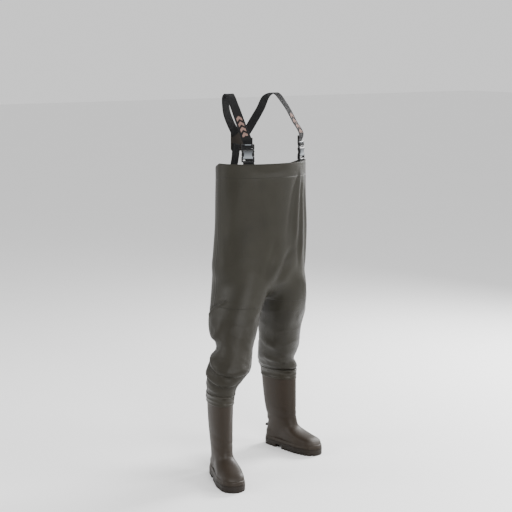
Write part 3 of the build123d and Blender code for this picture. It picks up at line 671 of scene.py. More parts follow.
def lay_fold(co, normal, tree, part, stations, width, rise, kind):
    """Raises a fold along its line, with a hollow beside it where the kind has one."""
    line = []
    for point in fold_line(part, stations):
        hit = tree.find_nearest(Vector(point))
        line.append(tuple(hit[0]) if hit[0] is not None else tuple(point))
    line = np.array(line)
    near = np.all((co > line.min(0) - 4 * width) & (co < line.max(0) + 4 * width), axis=1)
    index = np.nonzero(near)[0]
    if not len(index):
        return co
    gap = co[index][:, None, :] - line[None, :, :]
    distance = np.linalg.norm(gap, axis=2)
    best = distance.argmin(1)
    nearest = distance[np.arange(len(index)), best]
    way = np.gradient(line, axis=0)[best]
    way /= np.linalg.norm(way, axis=1)[:, None]
    out = normal[index]
    side = np.sign(np.einsum("ij,ij->i", np.cross(way, out), gap[np.arange(len(index)), best]))
    reach = nearest / width
    share = best / (len(line) - 1)
    fade = np.clip(np.minimum(share, 1 - share) / (0.36 if kind == "soft" else 0.24), 0, 1)
    fade = fade * fade * (3 - 2 * fade)
    if kind == "soft":
        shape = np.exp(-(reach**2))
    elif kind == "tuck":
        signed = reach * side
        shape = np.where(signed < 0, np.exp(-((signed / 1.7) ** 2)), np.exp(-((signed / 0.6) ** 2)))
        shape = shape - 0.55 * np.exp(-(((signed - 1.05) / 0.6) ** 2))
    else:
        signed = reach * side
        shape = np.exp(-np.abs(signed) ** 1.5) - 0.75 * np.exp(-(((signed - 1.5) / 0.8) ** 2))
    co = co.copy()
    co[index] += out * (rise * shape * fade)[:, None]
    return co


def loose_waves(co, normal):
    """Slack in the cloth: long shallow waves on the bib, tighter ones down the legs."""
    rise = np.empty(len(co))
    for i, (x, y, z) in enumerate(co):
        legs = min(max((LEG_TOP_Z - z) / 0.22, 0.0), 1.0)
        ends = min(max((z - 0.366) / 0.05, 0.0), 1.0)
        ends *= min(max((HEM_Z - 0.02 - z) / 0.05, 0.15), 1.0)
        long = noise.noise((x * 9.0, y * 9.0, z * 2.4 + 3.0))
        short = noise.noise((x * 15.0 + 5.0, y * 15.0, z * 21.0))
        crease = 1.0 - abs(noise.noise((x * 10.0, y * 10.0 + 7.0, z * 19.0 + x * 6.0))) * 3.2
        slack = 0.0040 * long + 0.0018 * short + 0.0012 * max(crease, 0.0) ** 2
        rise[i] = ends * ((1 - legs) * 0.0048 * long + legs * slack)
    return co + normal * rise[:, None]


def hem_height(y):
    return HEM_Z - BACK_DROP / CHEST_DEPTH * np.maximum(0.0, y - BODY_Y)


def work_mesh(co, faces):
    mesh = bpy.data.meshes.new("work")
    mesh.from_pydata(co.tolist(), [], faces.tolist())
    work = bmesh.new()
    work.from_mesh(mesh)
    bpy.data.meshes.remove(mesh)
    return work


def cut_at(work, point, normal, clear=True):
    """Cuts along a plane, and clears what is past it unless told not to."""
    bmesh.ops.bisect_plane(
        work,
        geom=[*work.verts, *work.edges, *work.faces],
        dist=1e-5,
        plane_co=point,
        plane_no=normal,
        clear_outer=clear,
    )


def cut_result(work):
    """Points, their normals, polygons and the polygons' middles."""
    work.verts.index_update()
    work.normal_update()
    result = (
        np.array([v.co for v in work.verts]),
        np.array([v.normal for v in work.verts]),
        [[v.index for v in f.verts] for f in work.faces],
        np.array([f.calc_center_median() for f in work.faces]),
    )
    work.free()
    return result


def cut_cloth(co, faces):
    """Trims the cloth at the hem and the boots, and parts it at its seams."""
    work = work_mesh(co, faces)
    cut_at(work, (0, 0, HEM_Z), (0, 0, 1))
    cut_at(work, (0, BODY_Y, HEM_Z), (0, BACK_DROP, CHEST_DEPTH))
    cut_at(work, (0, 0, CLOTH_END_Z), (0, 0, -1))
    cut_at(work, (BODY_X, 0, 0), (1, 0, 0), clear=False)
    cut_at(work, (0, 0, KNEE_SEAM_Z), (0, 0, 1), clear=False)
    return cut_result(work)


def side_distance(points):
    """How far each point is in front of the cloth's side seams."""
    value = points[:, 1] - BODY_Y
    for side, sign in SIGN.items():
        mine = (points[:, 2] < LEG_TOP_Z) & ((points[:, 0] - BODY_X) * sign > 0)
        rows = smooth_rows(LEG_RINGS[side], points[mine][:, 2])
        turn = np.radians(rows[:, 4])
        dx, dy = points[mine][:, 0] - BODY_X - rows[:, 0], points[mine][:, 1] - BODY_Y - rows[:, 1]
        ahead = -np.sin(turn) * dx + np.cos(turn) * dy
        inner = (np.cos(turn) * dx + np.sin(turn) * dy) * sign < 0
        value[mine] = ahead + np.where(inner, 0.03 * np.sign(ahead), 0.0)
    return value


def cloth_shell(name, cloth, keep, thick, finish, inset=0.0):
    """A thin closed piece of the cloth, with the whole garment's smooth normals."""
    points, normals, polygons, centres = cloth
    chosen = [polygons[i] for i in np.nonzero(keep)[0]]
    used = np.unique(np.concatenate([np.array(p) for p in chosen]))
    index = {int(v): i for i, v in enumerate(used)}
    outer = points[used] - normals[used] * inset
    inner = outer - normals[used] * thick
    count = len(used)
    faces, rim = [], {}
    for polygon in chosen:
        face = [index[v] for v in polygon]
        faces.append(face)
        faces.append([v + count for v in reversed(face)])
        for a, b in zip(face, face[1:] + face[:1]):
            if (b, a) in rim:
                del rim[(b, a)]
            else:
                rim[(a, b)] = True
    faces.extend([b, a, a + count, b + count] for a, b in rim)
    obj = new_object(name, np.concatenate([outer, inner]), faces, finish)
    mesh = obj.data
    for label, value in (
        ("below_hem", hem_height(outer[:, 1]) - outer[:, 2]),
        ("side_line", side_distance(outer)),
    ):
        attribute = mesh.attributes.new(label, "FLOAT", "POINT")
        attribute.data.foreach_set("value", np.concatenate([value, value]).astype(np.float32))
    both = np.concatenate([normals[used], -normals[used]])
    mesh.normals_split_custom_set_from_vertices([tuple(n) for n in both])
    return obj


CLOTH = {}


def make_cloth(sizes):
    """The whole garment as one surface, from the hem down to both boots."""
    if CLOTH:
        return CLOTH["cut"]
    tubes = [part_tube("body", 0.73, 1.34), *(part_tube(side, 0.30, LEG_TOP_Z) for side in SIGN)]
    co, faces = union_of("cloth_volume", tubes, sizes.cloth_mesh_size)
    edges = edges_of(faces)
    co = relax(co, edges, 14)
    co = soften(co, edges, 0.780, 0.065, 120)
    normal = surface_normals(co, faces)
    co = loose_waves(co, normal)
    co = relax(co, edges, 2)
    tree = BVHTree.FromPolygons(co.tolist(), faces.tolist())
    for fold in FOLDS:
        co = lay_fold(co, surface_normals(co, faces), tree, *fold)
    co = relax(co, edges, 2)
    CLOTH["cut"] = cut_cloth(co, faces)
    return CLOTH["cut"]


# --------------------------------------------------------------------------- boots
def heel_frame(side):
    """The place of a boot: back of its heel, and how it is turned."""
    axis = Vector(JOINTS[f"{side}_knee"]["axis"])
    toe = Vector((axis.y, -axis.x, 0)).normalized()
    mount = Vector(MOUNTS[f"{side}_sole"]["pos_m"])
    heel = Vector((mount.x, mount.y, 0)) - toe * 0.020
    return heel, Vector((-toe.y, toe.x, 0)), toe


def to_boot(side, points):
    """From across, ahead of the heel and height, to the frame."""
    heel, across, toe = heel_frame(side)
    points = np.asarray(points, float)
    return (
        np.array(heel)[None, :]
        + points[:, :1] * np.array(across)[None, :]
        + points[:, 1:2] * np.array(toe)[None, :]
        + points[:, 2:3] * np.array([0, 0, 1.0])[None, :]
    )


def foot_outline(out=0.0, count=96):
    """The foot from above: (across, ahead of the heel) points round its hull."""
    circles = [(0.0355, 0.0355 + out), (0.206, 0.0525 + out), (0.2550, 0.0470 + out)]
    points = []
    for angle in np.linspace(0, 2 * pi, count, endpoint=False):
        middle, radius = max(circles, key=lambda c: c[0] * cos(angle) + c[1])
        points.append((radius * sin(angle), middle + radius * cos(angle)))
    return np.array(points)


def clipped(outline, low, high):
    """The part of an outline between two distances ahead of the heel."""
    for limit, keep in ((low, 1), (high, -1)):
        result = []
        for a, b in zip(outline, np.roll(outline, -1, axis=0)):
            inside_a, inside_b = keep * (a[1] - limit) >= 0, keep * (b[1] - limit) >= 0
            if inside_a:
                result.append(a)
            if inside_a != inside_b:
                result.append(a + (b - a) * (limit - a[1]) / (b[1] - a[1]))
        outline = np.array(result)
    return outline


def slab(outline, low, high, ease=0.0015):
    """A flat block with eased edges, as (across, ahead, height) points and faces."""
    outline = np.asarray(outline, float)
    ahead, behind = np.roll(outline, -1, axis=0), np.roll(outline, 1, axis=0)
    first, second = outline - behind, ahead - outline
    normals = []
    for a, b in zip(first, second):
        na, nb = np.array([a[1], -a[0]]), np.array([b[1], -b[0]])
        na, nb = na / (np.linalg.norm(na) + 1e-9), nb / (np.linalg.norm(nb) + 1e-9)
        middle = (na + nb) / (np.linalg.norm(na + nb) + 1e-9)
        normals.append(middle / max(0.5, float(np.dot(na, middle))))
    normals = np.array(normals)
    area = np.sum(outline[:, 0] * ahead[:, 1] - outline[:, 1] * ahead[:, 0])
    normals = normals if area > 0 else -normals
    rings = []
    lower = ((1, low), (0.3, low + ease * 0.3), (0, low + ease))
    upper = ((0, high - ease), (0.3, high - ease * 0.3), (1, high))
    for inset, z in lower + upper:
        rings.append(np.column_stack([outline - normals * ease * inset, np.full(len(outline), z)]))
    return tube_mesh(rings)


SHAFT_RINGS = [
    (0.022, 0.081, 0.033, 0.077),
    (0.060, 0.0900, 0.0385, 0.0880),
    (0.095, 0.0885, 0.0405, 0.0865),
    (0.125, 0.0850, 0.0420, 0.0830),
    (0.155, 0.0780, 0.0432, 0.0835),
    (0.190, 0.0735, 0.0455, 0.0865),
    (0.260, 0.0675, 0.0490, 0.0910),
    (0.345, 0.0620, 0.0520, 0.0940),
    (0.365, 0.0600, 0.0530, 0.0945),
]
FOOT_ROWS = [
    (0.004, 0.078),
    (0.040, 0.096),
    (0.100, 0.108),
    (0.140, 0.112),
    (0.165, 0.106),
    (0.185, 0.096),
    (0.205, 0.087),
    (0.225, 0.081),
    (0.245, 0.0765),
    (0.262, 0.073),
    (0.276, 0.067),
    (0.288, 0.057),
    (0.297, 0.045),
    (0.3020, 0.034),
]


def foot_half_width(ahead):
    edge = foot_outline(0.0, 720)
    right = edge[edge[:, 0] >= 0]
    order = np.argsort(right[:, 1])
    width = np.interp(ahead, right[order, 1], right[order, 0])
    return width - 0.003 * np.exp(-(((ahead - 0.105) / 0.035) ** 2))


def boot_surface(side, voxel):
    """A boot's outside: the foot and the shaft as one surface."""
    angle = np.linspace(0, 2 * pi, 72, endpoint=False)
    shaft = []
    heights = np.arange(0.024, 0.362, 0.006)
    for z, (behind, width, depth) in zip(heights, smooth_rows(SHAFT_RINGS, heights)):
        shaft.append(np.column_stack([width * np.sin(angle), behind + depth * np.cos(angle), np.full(72, z)]))
    foot = []
    places = np.concatenate([[0.002], np.arange(0.006, 0.297, 0.005), [0.2985, 0.3008]])
    tops = smooth_rows(FOOT_ROWS, places)[:, 0]
    for ahead, top in zip(places, tops):
        width = foot_half_width(ahead)
        low = 0.024
        middle, half = (top + low) / 2, (top - low) / 2
        c, s = np.cos(angle), np.sin(angle)
        power = np.where(s > 0, 0.78, 0.45)
        x = width * np.sign(c) * np.abs(c) ** np.where(s > 0, 0.80, 0.42)
        z = middle + half * np.sign(s) * np.abs(s) ** power
        foot.append(np.column_stack([x, np.full(72, ahead), z]))
    parts = [(to_boot(side, points), faces) for points, faces in (tube_mesh(shaft), tube_mesh(foot))]
    co, faces = union_of(f"{side}_boot_volume", parts, voxel)
    edges = edges_of(faces)
    co = relax(co, edges, 10)
    co = soften(co, edges, 0.112, 0.026, 90)
    return co, faces, edges


def crease_boot(side, co, normal):
    """Soft creases at the ankle, and faint waves up the shaft."""
    heel, across, toe = heel_frame(side)
    local = co - np.array(heel)
    ahead, wide, z = local @ np.array(toe), local @ np.array(across), co[:, 2]
    front = np.clip((ahead - 0.07) / 0.08, 0, 1)
    back = np.clip((0.05 - ahead) / 0.05, 0, 1)
    rise = np.zeros(len(co))
    for middle, width, height, lean, gate in (
        (0.150, 0.0095, -0.0014, 0.16, front),
        (0.168, 0.0100, 0.0010, 0.13, front),
        (0.131, 0.0090, 0.0010, 0.20, front),
        (0.186, 0.0100, -0.0010, 0.08, front),
        (0.118, 0.0075, -0.0028, -0.10, back),
        (0.134, 0.0080, 0.0022, -0.08, back),
        (0.150, 0.0085, -0.0016, -0.05, back),
    ):
        place = middle - lean * (ahead - 0.12) + 0.006 * np.sin(wide * 60 + middle * 90)
        rise += height * gate * np.exp(-(((z - place) / width) ** 2))
    for i in range(len(co)):
        x, y, h = co[i]
        up = min(max((h - 0.07) / 0.06, 0.0), 1.0)
        rise[i] += up * 0.0014 * noise.noise((x * 16.0, y * 16.0, h * 11.0))
    return co + normal * rise[:, None]


def swept_faces(turns, count, closed):
    """Faces between rings along a path, with both ends closed if the path is open."""
    faces = []
    for i in range(turns if closed else turns - 1):
        j = (i + 1) % turns
        for k in range(count):
            m = (k + 1) % count
            faces.append((i * count + k, j * count + k, j * count + m, i * count + m))
    if not closed:
        faces.append(tuple(range(count)))
        faces.append(tuple((turns - 1) * count + k for k in reversed(range(count))))
    return faces


def swept(path, normals, profile, shares=None, least_out=1.0, least_height=1.0, base=0.0):
    """A profile of (out, height) swept along a flat path, smaller where its share is.

    Without shares the path is a closed ring and the profile stays as it is.
    """
    vertices = []
    closed = shares is None
    shares = np.ones(len(path)) if closed else shares
    for (x, y), (nx, ny), share in zip(path, normals, shares):
        wide = least_out + (1 - least_out) * share
        tall = least_height + (1 - least_height) * share
        for out, z in profile:
            out = out * wide if out > 0 else out
            vertices.append((x + nx * out, y + ny * out, base + (z - base) * tall))
    return np.array(vertices), swept_faces(len(path), len(profile), closed)


def path_normals(path, closed=True):
    """Normals of a flat path, to the right of its way."""
    ahead = np.roll(path, -1, axis=0) - np.roll(path, 1, axis=0)
    if not closed:
        ahead[0], ahead[-1] = path[1] - path[0], path[-1] - path[-2]
    normal = np.column_stack([ahead[:, 1], -ahead[:, 0]])
    return normal / np.linalg.norm(normal, axis=1)[:, None]


# ------------------------------------------------------------------ straps, buckles
def ribbon(name, centres, turns, width, thick, finish, start=0.0):
    """A flat woven strap along a line, with rounded edges and a UV along it."""
    centres = np.asarray(centres, float)
    way = np.gradient(centres, axis=0)
    way /= np.linalg.norm(way, axis=1)[:, None]
    across = np.column_stack([np.cos(turns), np.sin(turns), np.zeros(len(turns))])
    across -= way * np.einsum("ij,ij->i", across, way)[:, None]
    across /= np.linalg.norm(across, axis=1)[:, None]
    up = np.cross(way, across)
    half, rim = width / 2, thick / 2
    flat = np.linspace(-half + rim, half - rim, 9)
    section = [(x, rim * (1.0 + 0.10 * (abs(x) > half * 0.72))) for x in flat]
    section += [(half - rim * 0.3, rim * 0.72), (half, 0.0), (half - rim * 0.3, -rim * 0.72)]
    section += [(x, -rim) for x in flat[::-1]]
    section += [(-half + rim * 0.3, -rim * 0.72), (-half, 0.0), (-half + rim * 0.3, rim * 0.72)]
    section = np.array(section)
    count = len(section)
    vertices = (
        centres[:, None, :] + section[None, :, :1] * across[:, None, :] + section[None, :, 1:2] * up[:, None, :]
    ).reshape(-1, 3)
    length = np.concatenate([[0], np.cumsum(np.linalg.norm(np.diff(centres, axis=0), axis=1))]) + start
    faces = swept_faces(len(centres), count, closed=False)
    obj = new_object(name, vertices, faces, finish)
    layer = obj.data.uv_layers.new(name="UVMap")
    for polygon in obj.data.polygons:
        for loop in polygon.loop_indices:
            v = obj.data.loops[loop].vertex_index
            layer.data[loop].uv = ((section[v % count][0] + half) / width, length[v // count])
    outward(obj)
    obj.data.shade_smooth()
    return obj


def smooth_course(stations, step=0.006):
    """A strap's stations of (x, y, z, turn) read close together along its line."""
    stations = np.asarray(stations, float)
    gaps = np.linalg.norm(np.diff(stations[:, :3], axis=0), axis=1)
    place = np.concatenate([[0], np.cumsum(gaps)])
    at = np.linspace(0, place[-1], max(4, int(place[-1] / step)))
    rows = smooth_rows([(p, *s) for p, s in zip(place, stations)], at)
    return rows[:, :3], np.radians(rows[:, 3])


def buckle_frame(side):
    """On the hem's outer face: X across the strap, Y up, Z away from the chest."""
    sign = SIGN[side]
    turn = radians(30 * sign)
    x = 0.139
    y = -CHEST_DEPTH * (1 - (x / CHEST_WIDTH) ** 2) ** 0.5
    across = Vector((cos(turn), sin(turn), 0))
    away = Vector((sin(turn), -cos(turn), 0))
    origin = Vector((BODY_X + sign * x, BODY_Y + y, HEM_Z)) - away * BUCKLE_DEPTH
    place = Matrix((across, Vector((0, 0, 1)), away)).transposed().to_4x4()
    place.translation = origin
    return place, turn


def rounded(points, radius, steps=5):
    """An outline with its corners rounded."""
    result = []
    points = [Vector(p) for p in points]
    for i, p in enumerate(points):
        before, after = points[i - 1], points[(i + 1) % len(points)]
        a, b = (before - p), (after - p)
        r = min(radius, a.length * 0.45, b.length * 0.45)
        start, end = p + a.normalized() * r, p + b.normalized() * r
        for k in range(steps + 1):
            t = k / steps
            result.append((1 - t) ** 2 * start + 2 * t * (1 - t) * p + t * t * end)
    return result


def plate(name, outlines, thick, bevel, finish):
    """A flat moulded plate with holes and rounded edges, made from its outlines."""
    curve = bpy.data.curves.new(name, "CURVE")
    curve.dimensions = "2D"
    curve.fill_mode = "BOTH"
    for outline in outlines:
        spline = curve.splines.new("POLY")
        spline.points.add(len(outline) - 1)
        for point, (x, y) in zip(spline.points, outline):
            point.co = (x, y, 0, 1)
        spline.use_cyclic_u = True
    curve.extrude = thick / 2 - bevel
    curve.bevel_depth = bevel
    curve.bevel_resolution = 2
    curve.offset = -bevel
    obj = bpy.data.objects.new(name, curve)
    bpy.context.scene.collection.objects.link(obj)
    bpy.context.view_layer.update()
    mesh = bpy.data.meshes.new_from_object(obj.evaluated_get(bpy.context.evaluated_depsgraph_get()))
    bpy.data.objects.remove(obj)
    bpy.data.curves.remove(curve)
    made = bpy.data.objects.new(name, mesh)
    bpy.context.scene.collection.objects.link(made)
    outward(made)
    mesh.materials.clear()
    mesh.materials.append(finish)
    mesh.shade_smooth()
    mesh.set_sharp_from_angle(angle=radians(38))
    return made


def block(half_width, low, high, radius, steps):
    """A rounded rectangle's outline."""
    corners = [(-half_width, low), (half_width, low), (half_width, high), (-half_width, high)]
    return rounded(corners, radius, steps)


def hourglass(half_width, low, high, waist, radius=0.004, steps=9):
    """An outline that is pinched at both sides, the shape of the painted highlight on a buckle's face."""
    points = [(-half_width, low), (half_width, low)]
    middle, half = (low + high) / 2, (high - low) / 2
    for side in (1, -1):
        for k in range(steps):
            t = side * (-0.86 + 1.72 * k / (steps - 1))
            pinch = waist * (1 - (t / 0.9) ** 2) ** 0.5
            points.append((side * (half_width - pinch), middle + half * t * 0.72))
        if side == 1:
            points += [(half_width, high), (-half_width, high)]
    return rounded(points, radius, 3)


# ------------------------------------------------------------------------ settings
COLOUR = {"subtype": "COLOR", "size": 3, "min": 0, "max": 1}
LENGTH = {"subtype": "DISTANCE", "unit": "LENGTH"}


class WadersSettings(bpy.types.PropertyGroup):
    """Colours and sizes of the chest waders."""

    cloth_colour: FloatVectorProperty(
        name="Cloth", description="Colour of the coated cloth", default=(0.0178, 0.0162, 0.0116), **COLOUR
    )
    knee_colour: FloatVectorProperty(
        name="Knee cloth", description="Colour of the cloth below the knee panel seam",
        default=(0.0158, 0.0139, 0.0098), **COLOUR
    )
    boot_colour: FloatVectorProperty(
        name="Boots", description="Colour of the boot rubber", default=(0.0160, 0.0105, 0.0060), **COLOUR
    )
    band_colour: FloatVectorProperty(
        name="Join bands", description="Colour of the bands where the cloth meets the boots",
        default=(0.0155, 0.0130, 0.0080), **COLOUR
    )
    strap_colour: FloatVectorProperty(
        name="Webbing", description="Colour of the shoulder straps", default=(0.0045, 0.0045, 0.0048), **COLOUR
    )
    motif_colour: FloatVectorProperty(
        name="Strap motif", description="Colour of the pattern woven into the straps",
        default=(0.20, 0.125, 0.105), **COLOUR
    )
    # Colour of the painted highlight on the buckles' glossy faces, drawn as pale front plates.
    buckle_face_colour: FloatVectorProperty(
        name="Buckle highlight", description="Colour of the buckles' front plates", default=(0.16, 0.175, 0.19), **COLOUR
    )
    cloth_thickness: FloatProperty(
        name="Cloth thickness", description="Thickness of the coated cloth",
        min=0.0006, max=0.003, default=0.0014, **LENGTH
    )
    cloth_mesh_size: FloatProperty(
        name="Cloth mesh size", description="Distance between the points of the cloth's surface",
        min=0.004, max=0.012, default=0.0055, **LENGTH
    )
    webbing_width: FloatProperty(
        name="Webbing width", description="Width of the shoulder straps",
        min=0.02, max=0.06, default=0.040, **LENGTH
    )
    stitch_pitch: FloatProperty(
        name="Stitch pitch", description="Distance from one stitch to the next",
        min=0.002, max=0.01, default=0.0042, **LENGTH
    )


# ----------------------------------------------------------------------- operators
CAMERA_LENS, CAMERA_AWAY, CAMERA_HEIGHT = 93.7, 5.6, 1.808
CAMERA_HEADING, CAMERA_PITCH = 0.215, 9.27
LIGHTS = (
    ("Key", (-1.6, -4.0, 3.4), 200.0, 2.2),
    ("Fill", (2.6, -2.6, 2.6), 110.0, 1.8),
    ("Rim right", (3.2, 0.6, 2.2), 260.0, 1.4),
    ("Rim left", (-3.2, 1.6, 2.2), 60.0, 1.6),
)


class WADERS_OT_stage(bpy.types.Operator):
    """Sets up the camera, the floor and the soft studio lights"""

    bl_idname = "waders.stage"
    bl_label = "Stage"

    def execute(self, context):
        scene = context.scene
        heading, pitch = radians(CAMERA_HEADING), radians(CAMERA_PITCH)
        right0, ahead0 = Vector((0.8192, -0.5736, 0)), Vector((0.5736, 0.8192, 0))
        ahead = ahead0 * cos(heading) - right0 * sin(heading)
        right = Vector((ahead.y, -ahead.x, 0))
        look = ahead * cos(pitch) - Vector((0, 0, sin(pitch)))
        up = right.cross(look)
        data = bpy.data.cameras.new("Camera")
        data.lens, data.sensor_width, data.clip_end = CAMERA_LENS, 36.0, 100.0
        camera = bpy.data.objects.new("Camera", data)
        turn = Matrix((right, up, -look)).transposed().to_4x4()
        turn.translation = Vector((BODY_X, BODY_Y, 0)) - ahead0 * CAMERA_AWAY + Vector((0, 0, CAMERA_HEIGHT))
        camera.matrix_world = turn
        scene.collection.objects.link(camera)
        scene.camera = camera

        floor_finish, tree, shader = new_finish("Floor", roughness=0.55)
        tone = two_tones(tree, cloud(tree, object_place(tree), 0.8), (0.86, 0.86, 0.86), (0.88, 0.88, 0.88))
        tree.links.new(tone, shader.inputs["Base Color"])
        corners = [(-30, -30, 0), (30, -30, 0), (30, 30, 0), (-30, 30, 0)]
        floor = new_object("Floor", corners, [(0, 1, 2, 3)], floor_finish)

        world = bpy.data.worlds.new("Studio")
        world.use_nodes = True
        world.node_tree.nodes["Background"].inputs[0].default_value = (1, 1, 1, 1)
        world.node_tree.nodes["Background"].inputs[1].default_value = 1.0
        scene.world = world
        middle = Vector((BODY_X, BODY_Y, 0.75))
        for name, place, power, size in LIGHTS:
            light = bpy.data.lights.new(name, "AREA")
            light.energy, light.size = power, size
            lamp = bpy.data.objects.new(name, light)
            lamp.location = Vector((BODY_X, BODY_Y, 0)) + Vector(place)
            lamp.rotation_euler = (middle - lamp.location).to_track_quat("-Z", "Y").to_euler()
            scene.collection.objects.link(lamp)
        make_finishes(scene.waders)
        return {"FINISHED"}


class WADERS_OT_cloth(bpy.types.Operator):
    """Makes the coated cloth: the bib, the seat and both legs down to the boots"""

    bl_idname = "waders.cloth"
    bl_label = "Cloth"

    def execute(self, context):
        sizes = context.scene.waders
        thick = sizes.cloth_thickness
        cloth = make_cloth(sizes)
        centres = cloth[3]
        across, height = centres[:, 0] - BODY_X, centres[:, 2]
        above = height > KNEE_SEAM_Z
        for side, sign in SIGN.items():
            mine = across * sign > 0
            name = f"{side}_bib_and_thigh"
            upper = cloth_shell(name, cloth, mine & above, thick, FINISHES["coated_cloth"])
            nodes = [f"{side}_{node}" for node in ("front_panel", "back_panel", "thigh_front", "thigh_back")]
            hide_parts(*nodes)
            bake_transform(upper)

            name = f"{side}_knee_and_shin"
            lower = cloth_shell(name, cloth, mine & ~above, thick, FINISHES["knee_cloth"])
            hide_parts(f"{side}_knee_patch", f"{side}_shin_sleeve")
            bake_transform(lower)

        below = hem_height(centres[:, 1]) - height
        front = centres[:, 1] < BODY_Y
        lining = FINISHES["plain_cloth"]
        for node, keep in (("front_hem_band", front), ("back_hem_band", ~front)):
            band = cloth_shell(node + "_fold", cloth, keep & (below < HEM_WELD), 0.0012, lining, thick + 0.0004)
            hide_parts(node)
            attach(band, "bib")

        keep = front & (np.abs(across) < POCKET_HALF_WIDTH)
        keep &= (below > POCKET_BELOW_HEM[0]) & (below < POCKET_BELOW_HEM[1])
        pocket = cloth_shell("chest_pocket_patch", cloth, keep, 0.0012, lining, thick + 0.0008)
        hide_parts("chest_pocket")
        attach(pocket, "bib")

        keep = (np.abs(across) < GUSSET_HALF_WIDTH) & (height < GUSSET_Z[1]) & (height > GUSSET_Z[0])
        gusset = cloth_shell("crotch_gusset_strip", cloth, keep, 0.0012, lining, thick + 0.0010)
        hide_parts("crotch_gusset")
        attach(gusset, "bib")

        by_seam = np.abs(side_distance(centres)) < TAPE_HALF_WIDTH
        by_seam &= (height > TAPE_LOW_Z) & (below > TAPE_BELOW_HEM)
        for side, sign in SIGN.items():
            keep = by_seam & (across * sign > 0.1)
            tape = cloth_shell(f"{side}_side_tape", cloth, keep, 0.0008, FINISHES["seam_tape"], thick + 0.0004)
            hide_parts(f"{side}_side_seam_tape")
            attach(tape, "bib")
        return {"FINISHED"}


SOLE_OUT, TREAD_OUT = 0.004, 0.0036
WELT_HEIGHTS, TREAD_HEIGHTS, CLEAT_HEIGHTS = (0.0155, 0.0285), (0.008, 0.0165), (0.0, 0.0085)
HEEL_END, ARCH_END = 0.084, 0.124
HEEL_CLEATS = ((-0.01, 0.025), (0.031, 0.053), (0.059, HEEL_END))
CLEAT_LENGTH, CLEAT_PITCH = 0.013, 0.019
TOE_RIB_START = 0.208
# profiles of (out, height)
FOXING_PROFILE = [
    (-0.003, 0.0288), (0.0030, 0.0290), (0.0036, 0.0310), (0.0028, 0.0335),
    (0.0018, 0.0350), (0.0014, 0.0410), (0.0006, 0.0425), (-0.003, 0.0430),
]
TOE_RIB_PROFILE = [
    (-0.004, 0.029), (0.0024, 0.029), (0.0028, 0.033), (0.0026, 0.038),
    (0.0016, 0.0420), (0.0002, 0.0440), (-0.003, 0.0460), (-0.006, 0.0455),
]
SPUR_PROFILE = [
    (-0.004, 0.0795), (0.0050, 0.0785), (0.0082, 0.0800), (0.0088, 0.0835),
    (0.0078, 0.0865), (0.0040, 0.0880), (-0.004, 0.0885),
]
BAND_PROFILE = [
    (0.0006, 0.3180), (0.0020, 0.3182), (0.0027, 0.3200), (0.0027, 0.3228), (0.0019, 0.3245),
    (0.0018, 0.3345), (0.0029, 0.3360), (0.0030, 0.3392), (0.0019, 0.3408), (0.0018, 0.3540),
    (0.0028, 0.3555), (0.0028, 0.3590), (0.0018, 0.3618), (0.0002, 0.3622),
]


def boot_upper(side):
    co, faces, edges = boot_surface(side, 0.0042)
    co = relax(crease_boot(side, co, surface_normals(co, faces)), edges, 1)
    work = work_mesh(co, faces)
    cut_at(work, (0, 0, BOOT_TOP_Z), (0, 0, 1))
    cut_at(work, (0, 0, SOLE_Z), (0, 0, -1))
    cut = cut_result(work)
    return cloth_shell(f"{side}_boot", cut, np.ones(len(cut[2]), bool), 0.0032, FINISHES["boot_rubber"])


def sole_unit(side):
    """The sole, its heel and forefoot treads, and their cleats."""
    tread = foot_outline(TREAD_OUT)
    parts = [slab(foot_outline(SOLE_OUT), *WELT_HEIGHTS, 0.0022)]
    for start, end in ((-0.01, HEEL_END), (ARCH_END, 0.31)):
        parts.append(slab(clipped(tread, start, end), *TREAD_HEIGHTS, 0.0012))
    cleats, place = list(HEEL_CLEATS), ARCH_END
    while place < 0.300:
        cleats.append((place, min(place + CLEAT_LENGTH, 0.31)))
        place += CLEAT_PITCH
    for start, end in cleats:
        parts.append(slab(clipped(tread, start, end), *CLEAT_HEIGHTS, 0.0014))
    parts = [(to_boot(side, points), faces) for points, faces in parts]
    sole = outward(join_meshes(f"{side}_sole_unit", parts, FINISHES["sole_rubber"]), merge=False)
    sole.data.set_sharp_from_angle(angle=radians(40))
    return sole


def boot_trim(side, name, sweep, finish):
    points, faces = sweep
    return outward(new_object(f"{side}_{name}", to_boot(side, points), faces, FINISHES[finish]))


def foxing_strip(side):
    line = foot_outline(0.0)
    away = -path_normals(line)
    if np.dot(away[0], line[0] - line.mean(0)) < 0:
        away = -away
    return boot_trim(side, "foxing", swept(line, away, FOXING_PROFILE), "boot_rubber")


def toe_rib(side):
    line = foot_outline(0.0, 220)
    line = line[line[:, 1] > TOE_RIB_START]
    line = line[np.argsort(np.arctan2(line[:, 0], line[:, 1] - TOE_RIB_START))]
    away = path_normals(line, closed=False)
    if np.dot(away[len(away) // 2], (0, 1)) < 0:
        away = -away
    step = np.arange(len(line)) / 9
    shares = np.minimum(1.0, np.minimum(step, step[::-1]))
    return boot_trim(side, "toe_rib", swept(line, away, TOE_RIB_PROFILE, shares, 0.3, 0.35, 0.029), "boot_rubber")


def heel_spur(side):
    angle = np.linspace(-0.62, 0.62, 15)
    away = np.column_stack([np.sin(angle), -np.cos(angle)])
    line = np.array([0, 0.034]) + 0.034 * away
    shares = (1 - (np.abs(angle) / 0.66) ** 2) ** 0.5
    return boot_trim(side, "heel_spur", swept(line, away, SPUR_PROFILE, shares, 0.0, 0.4, 0.0835), "sole_rubber")


